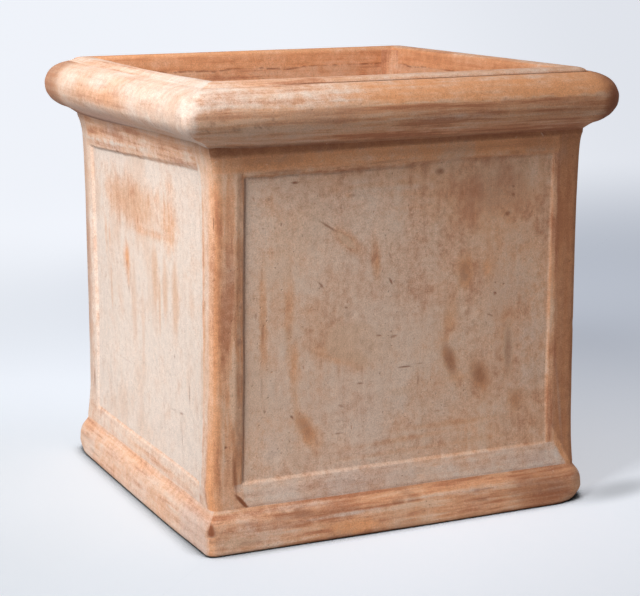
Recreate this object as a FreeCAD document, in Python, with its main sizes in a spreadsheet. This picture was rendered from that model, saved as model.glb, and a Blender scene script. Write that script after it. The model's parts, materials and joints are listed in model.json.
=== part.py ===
import FreeCAD, Part
import os
import Sketcher

# Square terracotta planter, built up from pressed slabs, luted coils and run mouldings.
# Millimetres. The origin is at the centre of the underside and +Z is up.
# Every piece that repeats round the pot is drawn at the back (+Y) and turned to its side.

os.makedirs("parts", exist_ok=True)
doc = FreeCAD.newDocument("cube_planter")

# Driving dimensions
SIZES = [
    ("pot_height", 476.4, "ground to the top of the lip"),
    ("wall_half", 213.5, "centre to the outer face of a wall"),
    ("wall_thickness", 19, "pressed wall slab"),
    ("arris_radius", 9, "sponged vertical edge where two walls meet"),
    ("slab_thickness", 24, "base slab that the walls stand on"),
    ("drain_radius", 18, "drain hole through the base slab"),
    ("foot_projection", 12.5, "foot moulding beyond the wall"),
    ("foot_lift", 4, "underside of the foot moulding above the ground"),
    ("foot_top", 42.5, "top of the foot moulding above the ground"),
    ("roll_radius", 26.5, "half round nose of the rim"),
    ("cavetto_radius", 10, "hollow under the rim, down to the wall"),
    ("lip_height", 21.4, "lip strip, from its seat to its top"),
    ("lip_stand", 6.4, "lip strip above the top of the rim roll"),
    ("lip_overhang", 6.5, "lip strip beyond the outer face of the wall"),
    ("lip_corner_radius", 12, "outer corner of the lip strip in plan"),
    ("lip_edge_radius", 4, "rounded top edges of the lip strip"),
    ("panel_margin", 37.4, "wall edge to the side of the sunk panel"),
    ("panel_rise", 28, "top of the foot moulding to the panel"),
    ("panel_drop", 26.6, "panel to the underside of the cavetto"),
    ("panel_depth", 5, "depth of the sunk panel"),
    ("coil_leg", 16, "width of an inside coil along the clay it is pressed on"),
    ("coil_sag", 1.5, "hollow that the thumb leaves along a coil's face"),
]
FOOT_UNDER_SHARE = 0.72
BEVEL_ANGLE = 45
MITRE_ANGLE = 45

# How near two measured places are to count as one
CLOSE = 1e-4

sizes = doc.addObject("Spreadsheet::Sheet", "sizes")
for row, (alias, size, meaning) in enumerate(SIZES, start=1):
    sizes.set(f"A{row}", alias)
    sizes.set(f"B{row}", str(size))
    sizes.setAlias(f"B{row}", alias)
    sizes.set(f"C{row}", meaning)
doc.recompute()

# Places that several pieces share, as formulas on the sheet
WALL_OUTER = "sizes.wall_half"
WALL_INNER = "(sizes.wall_half - sizes.wall_thickness)"
ARRIS_AXIS = "(sizes.wall_half - sizes.arris_radius)"
FOOT_UNDER = f"(sizes.foot_projection * {FOOT_UNDER_SHARE})"
ROLL_AXIS = "(sizes.wall_half + sizes.cavetto_radius)"
ROLL_TOP = "(sizes.pot_height - sizes.lip_stand)"
ROLL_LEVEL = f"({ROLL_TOP} - sizes.roll_radius)"
ROLL_BOTTOM = f"({ROLL_LEVEL} - sizes.roll_radius)"
CAVETTO_BOTTOM = f"({ROLL_BOTTOM} - sizes.cavetto_radius)"
LIP_OUTER = "(sizes.wall_half + sizes.lip_overhang)"
LIP_SEAT = "(sizes.pot_height - sizes.lip_height)"
COIL_EDGE = f"({WALL_INNER} - sizes.coil_leg)"

# Which way each piece is turned about the pot's vertical axis
SIDES = {"back": 0, "left": 90, "front": 180, "right": 270}
CORNERS = {"back_right": 0, "back_left": 90, "front_left": 180, "front_right": 270}

parts = []


def value(formula):
    """Number that a formula on the sheet gives."""
    answer = sizes.evalExpression(formula)
    return float(getattr(answer, "Value", answer))


def new_body(label, turn=0):
    """Body for one piece, turned about the vertical axis."""
    body = doc.addObject("PartDesign::Body", label)
    body.Label = label
    up = FreeCAD.Vector(0, 0, 1)
    body.Placement = FreeCAD.Placement(FreeCAD.Vector(), FreeCAD.Rotation(up, turn))
    parts.append(body)
    return body


def new_sketch(body, name, role, across="0", out="0"):
    """Sketch on one of the body's origin planes, shifted in that plane's own axes."""
    sketch = body.newObject("Sketcher::SketchObject", name)
    plane = next(item for item in body.Origin.OriginFeatures if item.Role == role)
    sketch.AttachmentSupport = [(plane, "")]
    sketch.MapMode = "FlatFace"
    for axis, formula in (("x", across), ("z", out)):
        if formula != "0":
            sketch.setExpression(f"AttachmentOffset.Base.{axis}", formula)
    return sketch


def pin(sketch, edge, end, x, y):
    """Tie one end of an edge to a place given by two formulas."""
    for kind, axis, formula in (("DistanceX", -2, x), ("DistanceY", -1, y)):
        if formula == "0":
            sketch.addConstraint(Sketcher.Constraint("PointOnObject", edge, end, axis))
        else:
            rule = Sketcher.Constraint(kind, -1, 1, edge, end, value(formula))
            number = sketch.addConstraint(rule)
            sketch.setExpression(f"Constraints[{number}]", formula)


def draw(sketch, *points):
    """Closed outline. A point is (x, y), or (x, y, radius) where an arc leaves it for
    the next point: a positive radius bulges to the right of the way there, a negative
    one to the left."""
    places = [FreeCAD.Vector(value(point[0]), value(point[1]), 0) for point in points]
    for index, point in enumerate(points):
        start, end = places[index], places[(index + 1) % len(places)]
        if len(point) == 2:
            sketch.addGeometry(Part.LineSegment(start, end), False)
            continue
        radius = value(point[2])
        half = (end - start) * 0.5
        right = FreeCAD.Vector(half.y, -half.x, 0).normalize()
        drop = (radius * radius - half.Length ** 2) ** 0.5
        bulge = 1 if radius > 0 else -1
        middle = start + half + right * (bulge * (abs(radius) - drop))
        sketch.addGeometry(Part.ArcOfCircle(start, middle, end), False)
    for index, point in enumerate(points):
        clockwise = len(point) == 3 and value(point[2]) < 0
        after = (index + 1) % len(points)
        after_clockwise = len(points[after]) == 3 and value(points[after][2]) < 0
        leave, enter = (1 if clockwise else 2), (2 if after_clockwise else 1)
        sketch.addConstraint(Sketcher.Constraint("Coincident", index, leave, after, enter))
        pin(sketch, index, 2 if clockwise else 1, point[0], point[1])
        if len(point) == 3:
            radius = Sketcher.Constraint("Radius", index, abs(value(point[2])))
            number = sketch.addConstraint(radius)
            sketch.setExpression(f"Constraints[{number}]", point[2].lstrip("-"))


def pad(body, sketch, length, both_ways=False):
    """Extrusion of a sketch, up its own normal or half each way."""
    feature = body.newObject("PartDesign::Pad", sketch.Name + "_pad")
    feature.Profile = sketch
    if both_ways:
        feature.SideType = "Symmetric"
    feature.setExpression("Length", length)
    doc.recompute()
    return feature


def cut_through(body, sketch):
    """Pocket through the whole piece, both ways, checked to remove clay."""
    before = body.Shape.Volume
    feature = body.newObject("PartDesign::Pocket", sketch.Name + "_cut")
    feature.Profile = sketch
    feature.SideType = "Two sides"
    feature.Type = "ThroughAll"
    feature.Type2 = "ThroughAll"
    doc.recompute()
    if not body.Shape.Volume < before:
        raise RuntimeError(f"{feature.Name} cuts nothing")


def turn_corners(body, corner_axis, *section):
    """Carry a section half way round the corner at both ends, to the mitre."""
    name = body.Name + "_corner"
    sketch = new_sketch(body, name, "YZ_Plane", across=corner_axis, out=corner_axis)
    draw(sketch, *section)
    turned = body.newObject("PartDesign::Revolution", name + "_turn")
    turned.Profile = sketch
    turned.ReferenceAxis = (sketch, ["V_Axis"])
    turned.Angle = MITRE_ANGLE
    turned.Reversed = True
    doc.recompute()
    plane = next(item for item in body.Origin.OriginFeatures if item.Role == "YZ_Plane")
    mirrored = body.newObject("PartDesign::Mirrored", name + "_mirrored")
    mirrored.Originals = [turned]
    mirrored.MirrorPlane = (plane, [""])
    body.Tip = mirrored
    doc.recompute()


def moulded_run(body, corner_axis, *section):
    """Section run straight along one side and half way round both corners."""
    sketch = new_sketch(body, body.Name + "_section", "YZ_Plane", across=corner_axis)
    draw(sketch, *section)
    pad(body, sketch, f"2 * {corner_axis}", both_ways=True)
    turn_corners(body, corner_axis, *section)


def mitred_strip(body, name, inner, outer, low, high, inner_round=None, outer_round=None):
    """Upright strip along one side with ends on the diagonals of the plan, and with
    corners that are sharp or follow a radius on its inner and outer face."""
    plan = new_sketch(body, name, "XY_Plane", out=low)
    points = [(f"-{inner}", inner), (inner, inner)]
    if inner_round:
        axis = f"({inner} - {inner_round})"
        mitre = f"({axis} + {inner_round} * cos({MITRE_ANGLE}))"
        points = [
            (f"-{mitre}", mitre, f"-{inner_round}"), (f"-{axis}", inner),
            (axis, inner, f"-{inner_round}"), (mitre, mitre),
        ]
    if outer_round:
        axis = f"({outer} - {outer_round})"
        mitre = f"({axis} + {outer_round} * cos({MITRE_ANGLE}))"
        points += [(mitre, mitre, outer_round), (axis, outer)]
        points += [(f"-{axis}", outer, outer_round), (f"-{mitre}", mitre)]
    else:
        points += [(outer, outer), (f"-{outer}", outer)]
    draw(plan, *points)
    pad(body, plan, f"{high} - {low}")


def base_slab():
    """Flat square slab with rounded corners and one drain hole."""
    body = new_body("base_slab")
    plan = new_sketch(body, "base_slab_plan", "XY_Plane")
    side, start, radius = WALL_OUTER, ARRIS_AXIS, "sizes.arris_radius"
    draw(
        plan,
        (f"-{start}", f"-{side}"), (start, f"-{side}", radius),
        (side, f"-{start}"), (side, start, radius),
        (start, side), (f"-{start}", side, radius),
        (f"-{side}", start), (f"-{side}", f"-{start}", radius),
    )
    pad(body, plan, "sizes.slab_thickness")
    hole = new_sketch(body, "drain_hole", "XY_Plane")
    radius = value("sizes.drain_radius")
    hole.addGeometry(Part.Circle(FreeCAD.Vector(), FreeCAD.Vector(0, 0, 1), radius), False)
    hole.addConstraint(Sketcher.Constraint("Coincident", 0, 3, -1, 1))
    number = hole.addConstraint(Sketcher.Constraint("Radius", 0, radius))
    hole.setExpression(f"Constraints[{number}]", "sizes.drain_radius")
    cut_through(body, hole)


def wall(side, turn):
    """Pressed slab with mitred ends, rounded arrises and a sunk bevelled panel."""
    name = f"wall_{side}"
    body = new_body(name, turn)
    mitred_strip(
        body, name + "_plan", WALL_INNER, WALL_OUTER, "sizes.slab_thickness", LIP_SEAT,
        outer_round="sizes.arris_radius",
    )
    panel = new_sketch(body, name + "_panel", "XZ_Plane", out=f"-{WALL_OUTER}")
    half = f"({WALL_OUTER} - sizes.panel_margin)"
    low = "(sizes.foot_top + sizes.panel_rise)"
    high = f"({CAVETTO_BOTTOM} - sizes.panel_drop)"
    draw(panel, (f"-{half}", low), (half, low), (half, high), (f"-{half}", high))
    before = body.Shape.Volume
    sinking = body.newObject("PartDesign::Pocket", name + "_sinking")
    sinking.Profile = panel
    sinking.Reversed = True
    sinking.TaperAngle = -BEVEL_ANGLE
    sinking.setExpression("Length", "sizes.panel_depth")
    doc.recompute()
    if not body.Shape.Volume < before:
        raise RuntimeError(f"{sinking.Name} cuts nothing")


def foot(side, turn):
    """Foot moulding: quarter round on top, upright face, soft lower edge."""
    body = new_body(f"foot_{side}", turn)
    inner = "sizes.arris_radius"
    outer = "(sizes.arris_radius + sizes.foot_projection)"
    moulded_run(
        body, ARRIS_AXIS,
        (inner, "sizes.foot_lift"),
        (f"({outer} - {FOOT_UNDER})", "sizes.foot_lift", FOOT_UNDER),
        (outer, f"(sizes.foot_lift + {FOOT_UNDER})"),
        (outer, "(sizes.foot_top - sizes.foot_projection)", "sizes.foot_projection"),
        (inner, "sizes.foot_top"),
    )


def rim(side, turn):
    """Rim: a roll with a hollow below it, round the wall's head. Its core stands against
    the wall, and the band above leaves a rebate that the lip strip lies in."""
    name = f"rim_{side}"
    body = new_body(name, turn)
    mitred_strip(
        body, name + "_core", WALL_OUTER, ROLL_AXIS, ROLL_BOTTOM, LIP_SEAT,
        inner_round="sizes.arris_radius",
    )
    mitred_strip(
        body, name + "_rebate", LIP_OUTER, ROLL_AXIS, LIP_SEAT, ROLL_TOP,
        inner_round="sizes.lip_corner_radius",
    )
    nose = new_sketch(body, name + "_nose", "YZ_Plane", across=ROLL_AXIS)
    half_round = (
        ("0", ROLL_BOTTOM, "sizes.roll_radius"),
        ("sizes.roll_radius", ROLL_LEVEL, "sizes.roll_radius"),
        ("0", ROLL_TOP),
    )
    draw(nose, *half_round)
    pad(body, nose, f"2 * {ROLL_AXIS}", both_ways=True)
    turn_corners(body, ROLL_AXIS, *half_round)
    moulded_run(
        body, ARRIS_AXIS,
        ("sizes.arris_radius", CAVETTO_BOTTOM, "-sizes.cavetto_radius"),
        ("(sizes.arris_radius + sizes.cavetto_radius)", ROLL_BOTTOM),
        ("sizes.arris_radius", ROLL_BOTTOM),
    )


def lip(side, turn):
    """Lip strip, laid on the wall's head and in the rim's rebate, with soft top edges."""
    name = f"lip_{side}"
    body = new_body(name, turn)
    mitred_strip(
        body, name + "_plan", WALL_INNER, LIP_OUTER, LIP_SEAT, "sizes.pot_height",
        outer_round="sizes.lip_corner_radius",
    )
    square_strip = body.Tip
    top = value("sizes.pot_height")
    long_edges = []
    for number, edge in enumerate(square_strip.Shape.Edges, start=1):
        ends = [vertex.Point for vertex in edge.Vertexes]
        level = all(abs(end.z - top) < CLOSE for end in ends)
        on_mitre = all(abs(abs(end.x) - abs(end.y)) < CLOSE for end in ends)
        if level and not (on_mitre and ends[0].x * ends[1].x > 0):
            long_edges.append(f"Edge{number}")
    soften = body.newObject("PartDesign::Fillet", name + "_soft_edges")
    soften.Base = (square_strip, long_edges)
    soften.setExpression("Radius", "sizes.lip_edge_radius")
    doc.recompute()


def thumbed_radius():
    """Radius of a coil's thumbed face, from its chord between the legs and its sag."""
    half_chord = "(sizes.coil_leg / sqrt(2))"
    return f"(({half_chord} ^ 2 + sizes.coil_sag ^ 2) / (2 * sizes.coil_sag))"


def corner_coil(corner, turn):
    """Upright coil thumbed into the inside corner, up to the rounding of the lip."""
    name = f"corner_coil_{corner}"
    body = new_body(name, turn)
    plan = new_sketch(body, name + "_plan", "XY_Plane", out="sizes.slab_thickness")
    draw(
        plan,
        (WALL_INNER, COIL_EDGE), (WALL_INNER, WALL_INNER),
        (COIL_EDGE, WALL_INNER, "-" + thumbed_radius()),
    )
    pad(body, plan, "sizes.pot_height - sizes.lip_edge_radius - sizes.slab_thickness")


def floor_coil(side, turn):
    """Coil pressed along the foot of a wall, between the two upright coils."""
    name = f"floor_coil_{side}"
    body = new_body(name, turn)
    section = new_sketch(body, name + "_section", "YZ_Plane")
    floor = "sizes.slab_thickness"
    draw(
        section,
        (COIL_EDGE, floor), (WALL_INNER, floor),
        (WALL_INNER, f"({floor} + sizes.coil_leg)", "-" + thumbed_radius()),
    )
    pad(body, section, f"2 * {COIL_EDGE}", both_ways=True)


base_slab()
for side, turn in SIDES.items():
    wall(side, turn)
    foot(side, turn)
    rim(side, turn)
    lip(side, turn)
    floor_coil(side, turn)
for corner, turn in CORNERS.items():
    corner_coil(corner, turn)
doc.recompute()

for item in doc.Objects:
    if "Invalid" in item.State or "Error" in item.State:
        raise RuntimeError(f"{item.Name} failed: {item.State}")
for body in parts:
    if body.Shape.isNull() or not body.Shape.isValid() or len(body.Shape.Solids) != 1:
        raise RuntimeError(f"{body.Label} isn't one valid solid")
for body in parts:
    body.Shape.exportStep(os.path.join("parts", body.Label + ".step"))
    print(f"{body.Label}: {body.Shape.Volume:.0f} mm3")
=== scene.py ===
"""Looks of the cube planter: hand-pressed terracotta members with worn limewash, on a pale floor."""

import itertools
import json
import math

import bmesh
import bpy
import numpy as np
from bpy.props import FloatProperty, FloatVectorProperty, IntProperty, PointerProperty
from mathutils import Matrix, Vector


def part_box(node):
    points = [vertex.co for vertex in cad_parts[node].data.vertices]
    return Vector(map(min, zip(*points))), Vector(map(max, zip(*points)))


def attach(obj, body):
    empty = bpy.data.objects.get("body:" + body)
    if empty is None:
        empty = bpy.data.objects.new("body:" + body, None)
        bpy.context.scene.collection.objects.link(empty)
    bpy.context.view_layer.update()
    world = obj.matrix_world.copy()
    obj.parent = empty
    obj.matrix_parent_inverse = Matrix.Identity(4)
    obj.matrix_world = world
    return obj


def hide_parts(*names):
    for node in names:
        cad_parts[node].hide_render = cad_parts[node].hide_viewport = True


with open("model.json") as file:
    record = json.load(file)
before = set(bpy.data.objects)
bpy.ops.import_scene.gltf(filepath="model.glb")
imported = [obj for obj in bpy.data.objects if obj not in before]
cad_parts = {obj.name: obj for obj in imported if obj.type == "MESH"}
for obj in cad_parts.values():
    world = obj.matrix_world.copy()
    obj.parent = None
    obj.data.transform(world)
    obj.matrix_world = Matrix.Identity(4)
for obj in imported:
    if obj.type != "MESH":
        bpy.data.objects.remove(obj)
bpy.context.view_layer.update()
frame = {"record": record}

bl_info = {
    "name": "Cube Planter",
    "version": (1, 0, 0),
    "blender": (4, 5, 0),
    "location": "View3D > Sidebar > Planter",
    "description": "Builds the pressed and limewashed clay members of a square planter",
    "category": "Object",
}

MM = 0.001
SIDES = ("back", "left", "front", "right")
CORNERS = ("back_right", "back_left", "front_left", "front_right")
MARKED = ("wash", "glow", "rust", "straw", "chalk")


# Measures taken from the frame

def reach(node, axis=1, end=1):
    """Where a node ends along an axis, or begins if end is 0."""
    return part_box(node)[end][axis]


WALL_IN, WALL_OUT = reach("wall_back", end=0), reach("wall_back")
WALL_FOOT, WALL_TOP = reach("wall_back", 2, 0), reach("wall_back", 2)
RIM_LOW, RIM_OUT = reach("rim_back", 2, 0), reach("rim_back")
LIP_OUT = reach("lip_back")
FOOT_OUT, FOOT_TOP = reach("foot_back"), reach("foot_back", 2)
COIL_TOP = reach("corner_coil_back_right", 2)
COIL_LEG = WALL_IN - reach("floor_coil_back", end=0)
SLAB_TOP = reach("base_slab", 2)
ARRIS_RADIUS = 9 * MM
# Below this height sway and dents fade out, so that the pot stands flat
WORKED_FROM = 30 * MM
# Spacing of a wall's mesh beside the panel's upright edges, and beside its head and foot
FINE_STEP, HEAD_STEP = 0.75 * MM, 0.85 * MM
# How far apart two sides' brush marks are taken
SIDE_APART = 3.0
MARK_RANGE = (-0.5, 1.2)
SMOOTH_ANGLE = math.radians(50)


# Settings

def scalar(name, description, default, **kind):
    return FloatProperty(name=name, description=description, default=default, **kind)


def length(name, description, default):
    return scalar(name, description, default, unit="LENGTH", precision=5)


def degrees(name, description, default):
    return scalar(name, description, math.radians(default), subtype="ANGLE")


def triple(name, description, default, subtype="XYZ"):
    return FloatVectorProperty(name=name, description=description, default=default, subtype=subtype, size=3)


def tint(name, description, default):
    return triple(name, description, default, "COLOR")


class PlanterShape(bpy.types.PropertyGroup):
    """Sizes of the hand-made clay."""

    face_step: length("Face step", "Spacing of the mesh on a wall's face", 1.75 * MM)
    edge_step: length("Moulding step", "Spacing of the mesh round a moulding", 2.2 * MM)
    panel_width: length("Panel half width", "Half the sunk panel's width", 176.1 * MM)
    panel_foot: length("Panel foot", "Height of the panel's lower edge", 70.5 * MM)
    panel_head: length("Panel head", "Height of the panel's upper edge", 380.4 * MM)
    panel_depth: length("Panel depth", "How far the panel is sunk", 5.0 * MM)
    panel_slope: length("Panel bevel", "Width of the gentle bevel round the panel", 9.0 * MM)
    sway: length("Sway", "How far long runs wander", 1.6 * MM)
    ripple: length("Ripple", "Height of finger-sized ripples", 0.5 * MM)
    dent_depth: length("Dent depth", "Depth of the scattered dents", 0.6 * MM)
    dent_size: length("Dent size", "Width of a scattered dent", 9.0 * MM)
    dent_spacing: length("Dent spacing", "Spacing of the scattered dents", 42.0 * MM)


class PlanterFinish(bpy.types.PropertyGroup):
    """Colours of the clay and its limewash."""

    clay: tint("Fired clay", "The clay's main colour", (0.74, 0.36, 0.19))
    clay_pale: tint("Pale clay", "The clay where it fired lighter", (0.82, 0.50, 0.32))
    clay_dark: tint("Dark clay", "The clay where it fired darker", (0.54, 0.22, 0.11))
    wash: tint("Limewash", "The thick limewash", (0.81, 0.69, 0.60))
    wash_thin: tint("Thin limewash", "The limewash where it is thin", (0.83, 0.575, 0.425))
    glow: tint("Rubbed clay", "Clay where handling wore the wash off", (0.80, 0.36, 0.165))
    # This colour also paints shade: under the roll, in its hollow, in the crevice by the lip, along the
    # panel's shaded border and on the front's right side.
    rust: tint("Crevice clay", "Clay in cracks and under edges", (0.27, 0.09, 0.04))
    straw: tint("Weathered clay", "Clay that has turned tan", (0.70, 0.435, 0.285))
    chalk: tint("Grey limewash", "Limewash that dried greyish pink", (0.71, 0.51, 0.42))
    grain: length("Grain", "Depth of the clay's fine grain", 0.44 * MM)


class PlanterStage(bpy.types.PropertyGroup):
    """Camera, light and floor."""

    turn: degrees("Camera turn", "Camera's turn about the planter", -24.46)
    rise: degrees("Camera rise", "Camera's angle above the floor", 11.66)
    roll: degrees("Camera roll", "Camera's roll about its own axis", -0.37)
    distance: length("Camera distance", "From the camera to its target", 2.0146)
    target: triple("Camera target", "The point the camera looks at", (-0.0059, -0.0198, 0.2099))
    lens: scalar("Focal length", "The lens's focal length in millimetres", 99.71)
    key_power: scalar("Softbox power", "Power of the softbox in watts", 3.95)
    key_size: length("Softbox size", "Width of the square softbox", 0.8)
    key_spread: degrees("Softbox spread", "Width of the softbox's beam", 58)
    key_aim: triple("Softbox aim", "The point the softbox faces", (-0.32, 0.02, 0.43))
    key_place: triple("Softbox place", "Where the softbox stands", (-1.12, -0.55, 1.28))
    fill: scalar("Fill", "Strength of the even light all round", 0.36)
    floor: tint("Floor", "The floor's colour", (0.60, 0.632, 0.68))
    near_lift: tint("Lit floor lift", "Paleness added where the light falls", (0.165, 0.18, 0.19))
    floor_lift: tint("Floor lift", "Paleness added to the floor near by", (0.39, 0.405, 0.435))
    far_lift: tint("Far floor lift", "Paleness added far behind", (0.66, 0.672, 0.71))
    dim_lift: tint("Floor shade", "Paleness left on the shaded side", (0.195, 0.21, 0.255))
    floor_size: length("Floor size", "The floor's half width", 60.0)
    seed: IntProperty(name="Seed", description="Chooses the scattered dents", default=7)


# Numbers and noise on points

def step(low, high, x):
    """A smooth step from 0 at low to 1 at high."""
    t = np.clip((x - low) / (high - low), 0, 1)
    return t * t * (3 - 2 * t)


def bell(x, middle, width, power=2):
    """A bump from 0 to 1 and back round the middle."""
    return np.exp(-np.abs((x - middle) / width) ** power)


def mix(a, b, t):
    """The way from a to b by a share."""
    return a + (b - a) * t


def by_side(side, front, left, other):
    """The value for a side. The right and the back, which the camera doesn't see, share one."""
    return {"front": front, "left": left}.get(side, other)


def lattice(cell, seed):
    """A fixed number from 0 to 1 for every whole-number cell."""
    x, y, z = (cell[:, i].astype(np.int64).astype(np.uint32) for i in range(3))
    h = x * np.uint32(374761393) + y * np.uint32(668265263) + z * np.uint32(2246822519)
    h = h + np.uint32(seed * 3266489 + 97)
    h = (h ^ (h >> np.uint32(13))) * np.uint32(1274126177)
    return (h ^ (h >> np.uint32(16))).astype(float) / 4294967295.0


def noise(points, size, seed=0, octaves=1):
    """Smooth noise from about -1 to 1, with features about size across."""
    total, weight, most = 0.0, 1.0, 0.0
    for octave in range(octaves):
        p = points / (size / 2**octave)
        cell = np.floor(p)
        f = p - cell
        f = f * f * (3 - 2 * f)
        value = 0.0
        for corner in itertools.product((0, 1), repeat=3):
            share = np.prod(np.where(corner, f, 1 - f), axis=1)
            value = value + share * lattice(cell + corner, seed + octave)
        total = total + weight * (2 * value - 1)
        most += weight
        weight *= 0.55
    return total / most


def wear_noise(points, squash, sizes, seeds):
    """Worn streaks, broad drifts and torn edges, by their sizes in millimetres."""
    return (noise(points * squash, sizes[0] * MM, seeds[0], 3), noise(points, sizes[1] * MM, seeds[1], 2),
            noise(points, sizes[2] * MM, seeds[2], 3))


# Sections and sweeps

def curve_through(points, spacing):
    """Points at an even spacing along a smooth line through the given ones."""
    p = np.array(points, float) * MM
    ends = np.vstack([2 * p[0] - p[1], p, 2 * p[-1] - p[-2]])
    t = np.linspace(0, 1, 24, endpoint=False)[:, None]
    parts = []
    for a, b, c, d in zip(ends, ends[1:], ends[2:], ends[3:]):
        parts.append(0.5 * (2 * b + (c - a) * t + (2 * a - 5 * b + 4 * c - d) * t**2
                            + (3 * b - a - 3 * c + d) * t**3))
    fine = np.vstack(parts + [p[-1:]])
    along = np.concatenate([[0], np.cumsum(np.linalg.norm(np.diff(fine, axis=0), axis=1))])
    count = max(2, int(round(along[-1] / spacing)) + 1)
    wanted = np.linspace(0, along[-1], count)
    return np.stack([np.interp(wanted, along, fine[:, i]) for i in range(2)], 1)


def paced(low, high, wide, close, marks, near):
    """Places from low to high, closer together beside the marks."""
    out = [low]
    while out[-1] < high:
        beside = min(abs(out[-1] - mark) for mark in marks) < near
        out.append(out[-1] + (close if beside else wide))
    out = np.array(out)
    return low + (out - low) * (high - low) / (out[-1] - low)


def round_corners(run):
    """Stations of a side: shares of its straight run, and angles round its two corners."""
    turn = np.radians(np.concatenate([np.linspace(5, 42, 8), [44.5, 45]]))
    ends = np.ones(len(turn))
    return (np.concatenate([-ends, run, ends]),
            np.concatenate([-turn[::-1], np.zeros(len(run)), turn]))


def stations(half, spacing):
    """Stations of a side at an even spacing."""
    return round_corners(np.linspace(-1, 1, int(2 * half / spacing) | 1))


def repeated(section, share):
    """A section's offsets and heights at every station."""
    return [np.tile(section[:, i], (len(share), 1)) for i in range(2)]


def swept(offset, height, radius, share, angle):
    """Positions of a side's grid. Rows are the stations along +Y's side, columns the section."""
    core = offset - radius
    x = share[:, None] * core + radius * np.sin(angle)[:, None]
    y = core + radius * np.cos(angle)[:, None]
    return np.stack([x, y, height], 2)


def turned(points, quarters):
    """Points turned by quarter turns about the planter's upright axis."""
    x, y, z = points[..., 0], points[..., 1], points[..., 2]
    for _ in range(quarters):
        x, y = -y, x
    return np.stack([x, y, z], -1)


def ring_faces(rows, columns, closed=False):
    """Quads of a tube of sections, which closes on itself or has two end caps."""
    i, j = np.meshgrid(np.arange(rows - (not closed)), np.arange(columns), indexing="ij")
    a, b = i * columns + j, i * columns + (j + 1) % columns
    quads = np.stack([a, b, b + columns, a + columns], 2).reshape(-1, 4) % (rows * columns)
    first = list(range(columns))[::-1]
    last = list(range((rows - 1) * columns, rows * columns))
    return quads.tolist() + ([] if closed else [first, last])


def face_outwards(mesh):
    """Turns every face round where the closed mesh has its faces pointing inwards."""
    work = bmesh.new()
    work.from_mesh(mesh)
    if work.calc_volume(signed=True) < 0:
        mesh.flip_normals()
    work.free()


def clay_mesh(name, points, faces, marks, lay):
    """A mesh with its wear and painted shade on its points."""
    mesh = bpy.data.meshes.new(name)
    mesh.from_pydata(points.reshape(-1, 3).tolist(), [], faces)
    face_outwards(mesh)
    for mark, amount in marks.items():
        if mark in MARKED:
            amount = np.clip(amount, *MARK_RANGE)
        layer = mesh.attributes.new(mark, "FLOAT", "POINT")
        layer.data.foreach_set("value", amount.ravel().astype(np.float32))
    layer = mesh.attributes.new("lay", "FLOAT_VECTOR", "POINT")
    layer.data.foreach_set("vector", lay.reshape(-1).astype(np.float32))
    mesh.polygons.foreach_set("use_smooth", np.ones(len(mesh.polygons), bool))
    mesh.set_sharp_from_angle(angle=SMOOTH_ANGLE)
    return mesh
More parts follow.
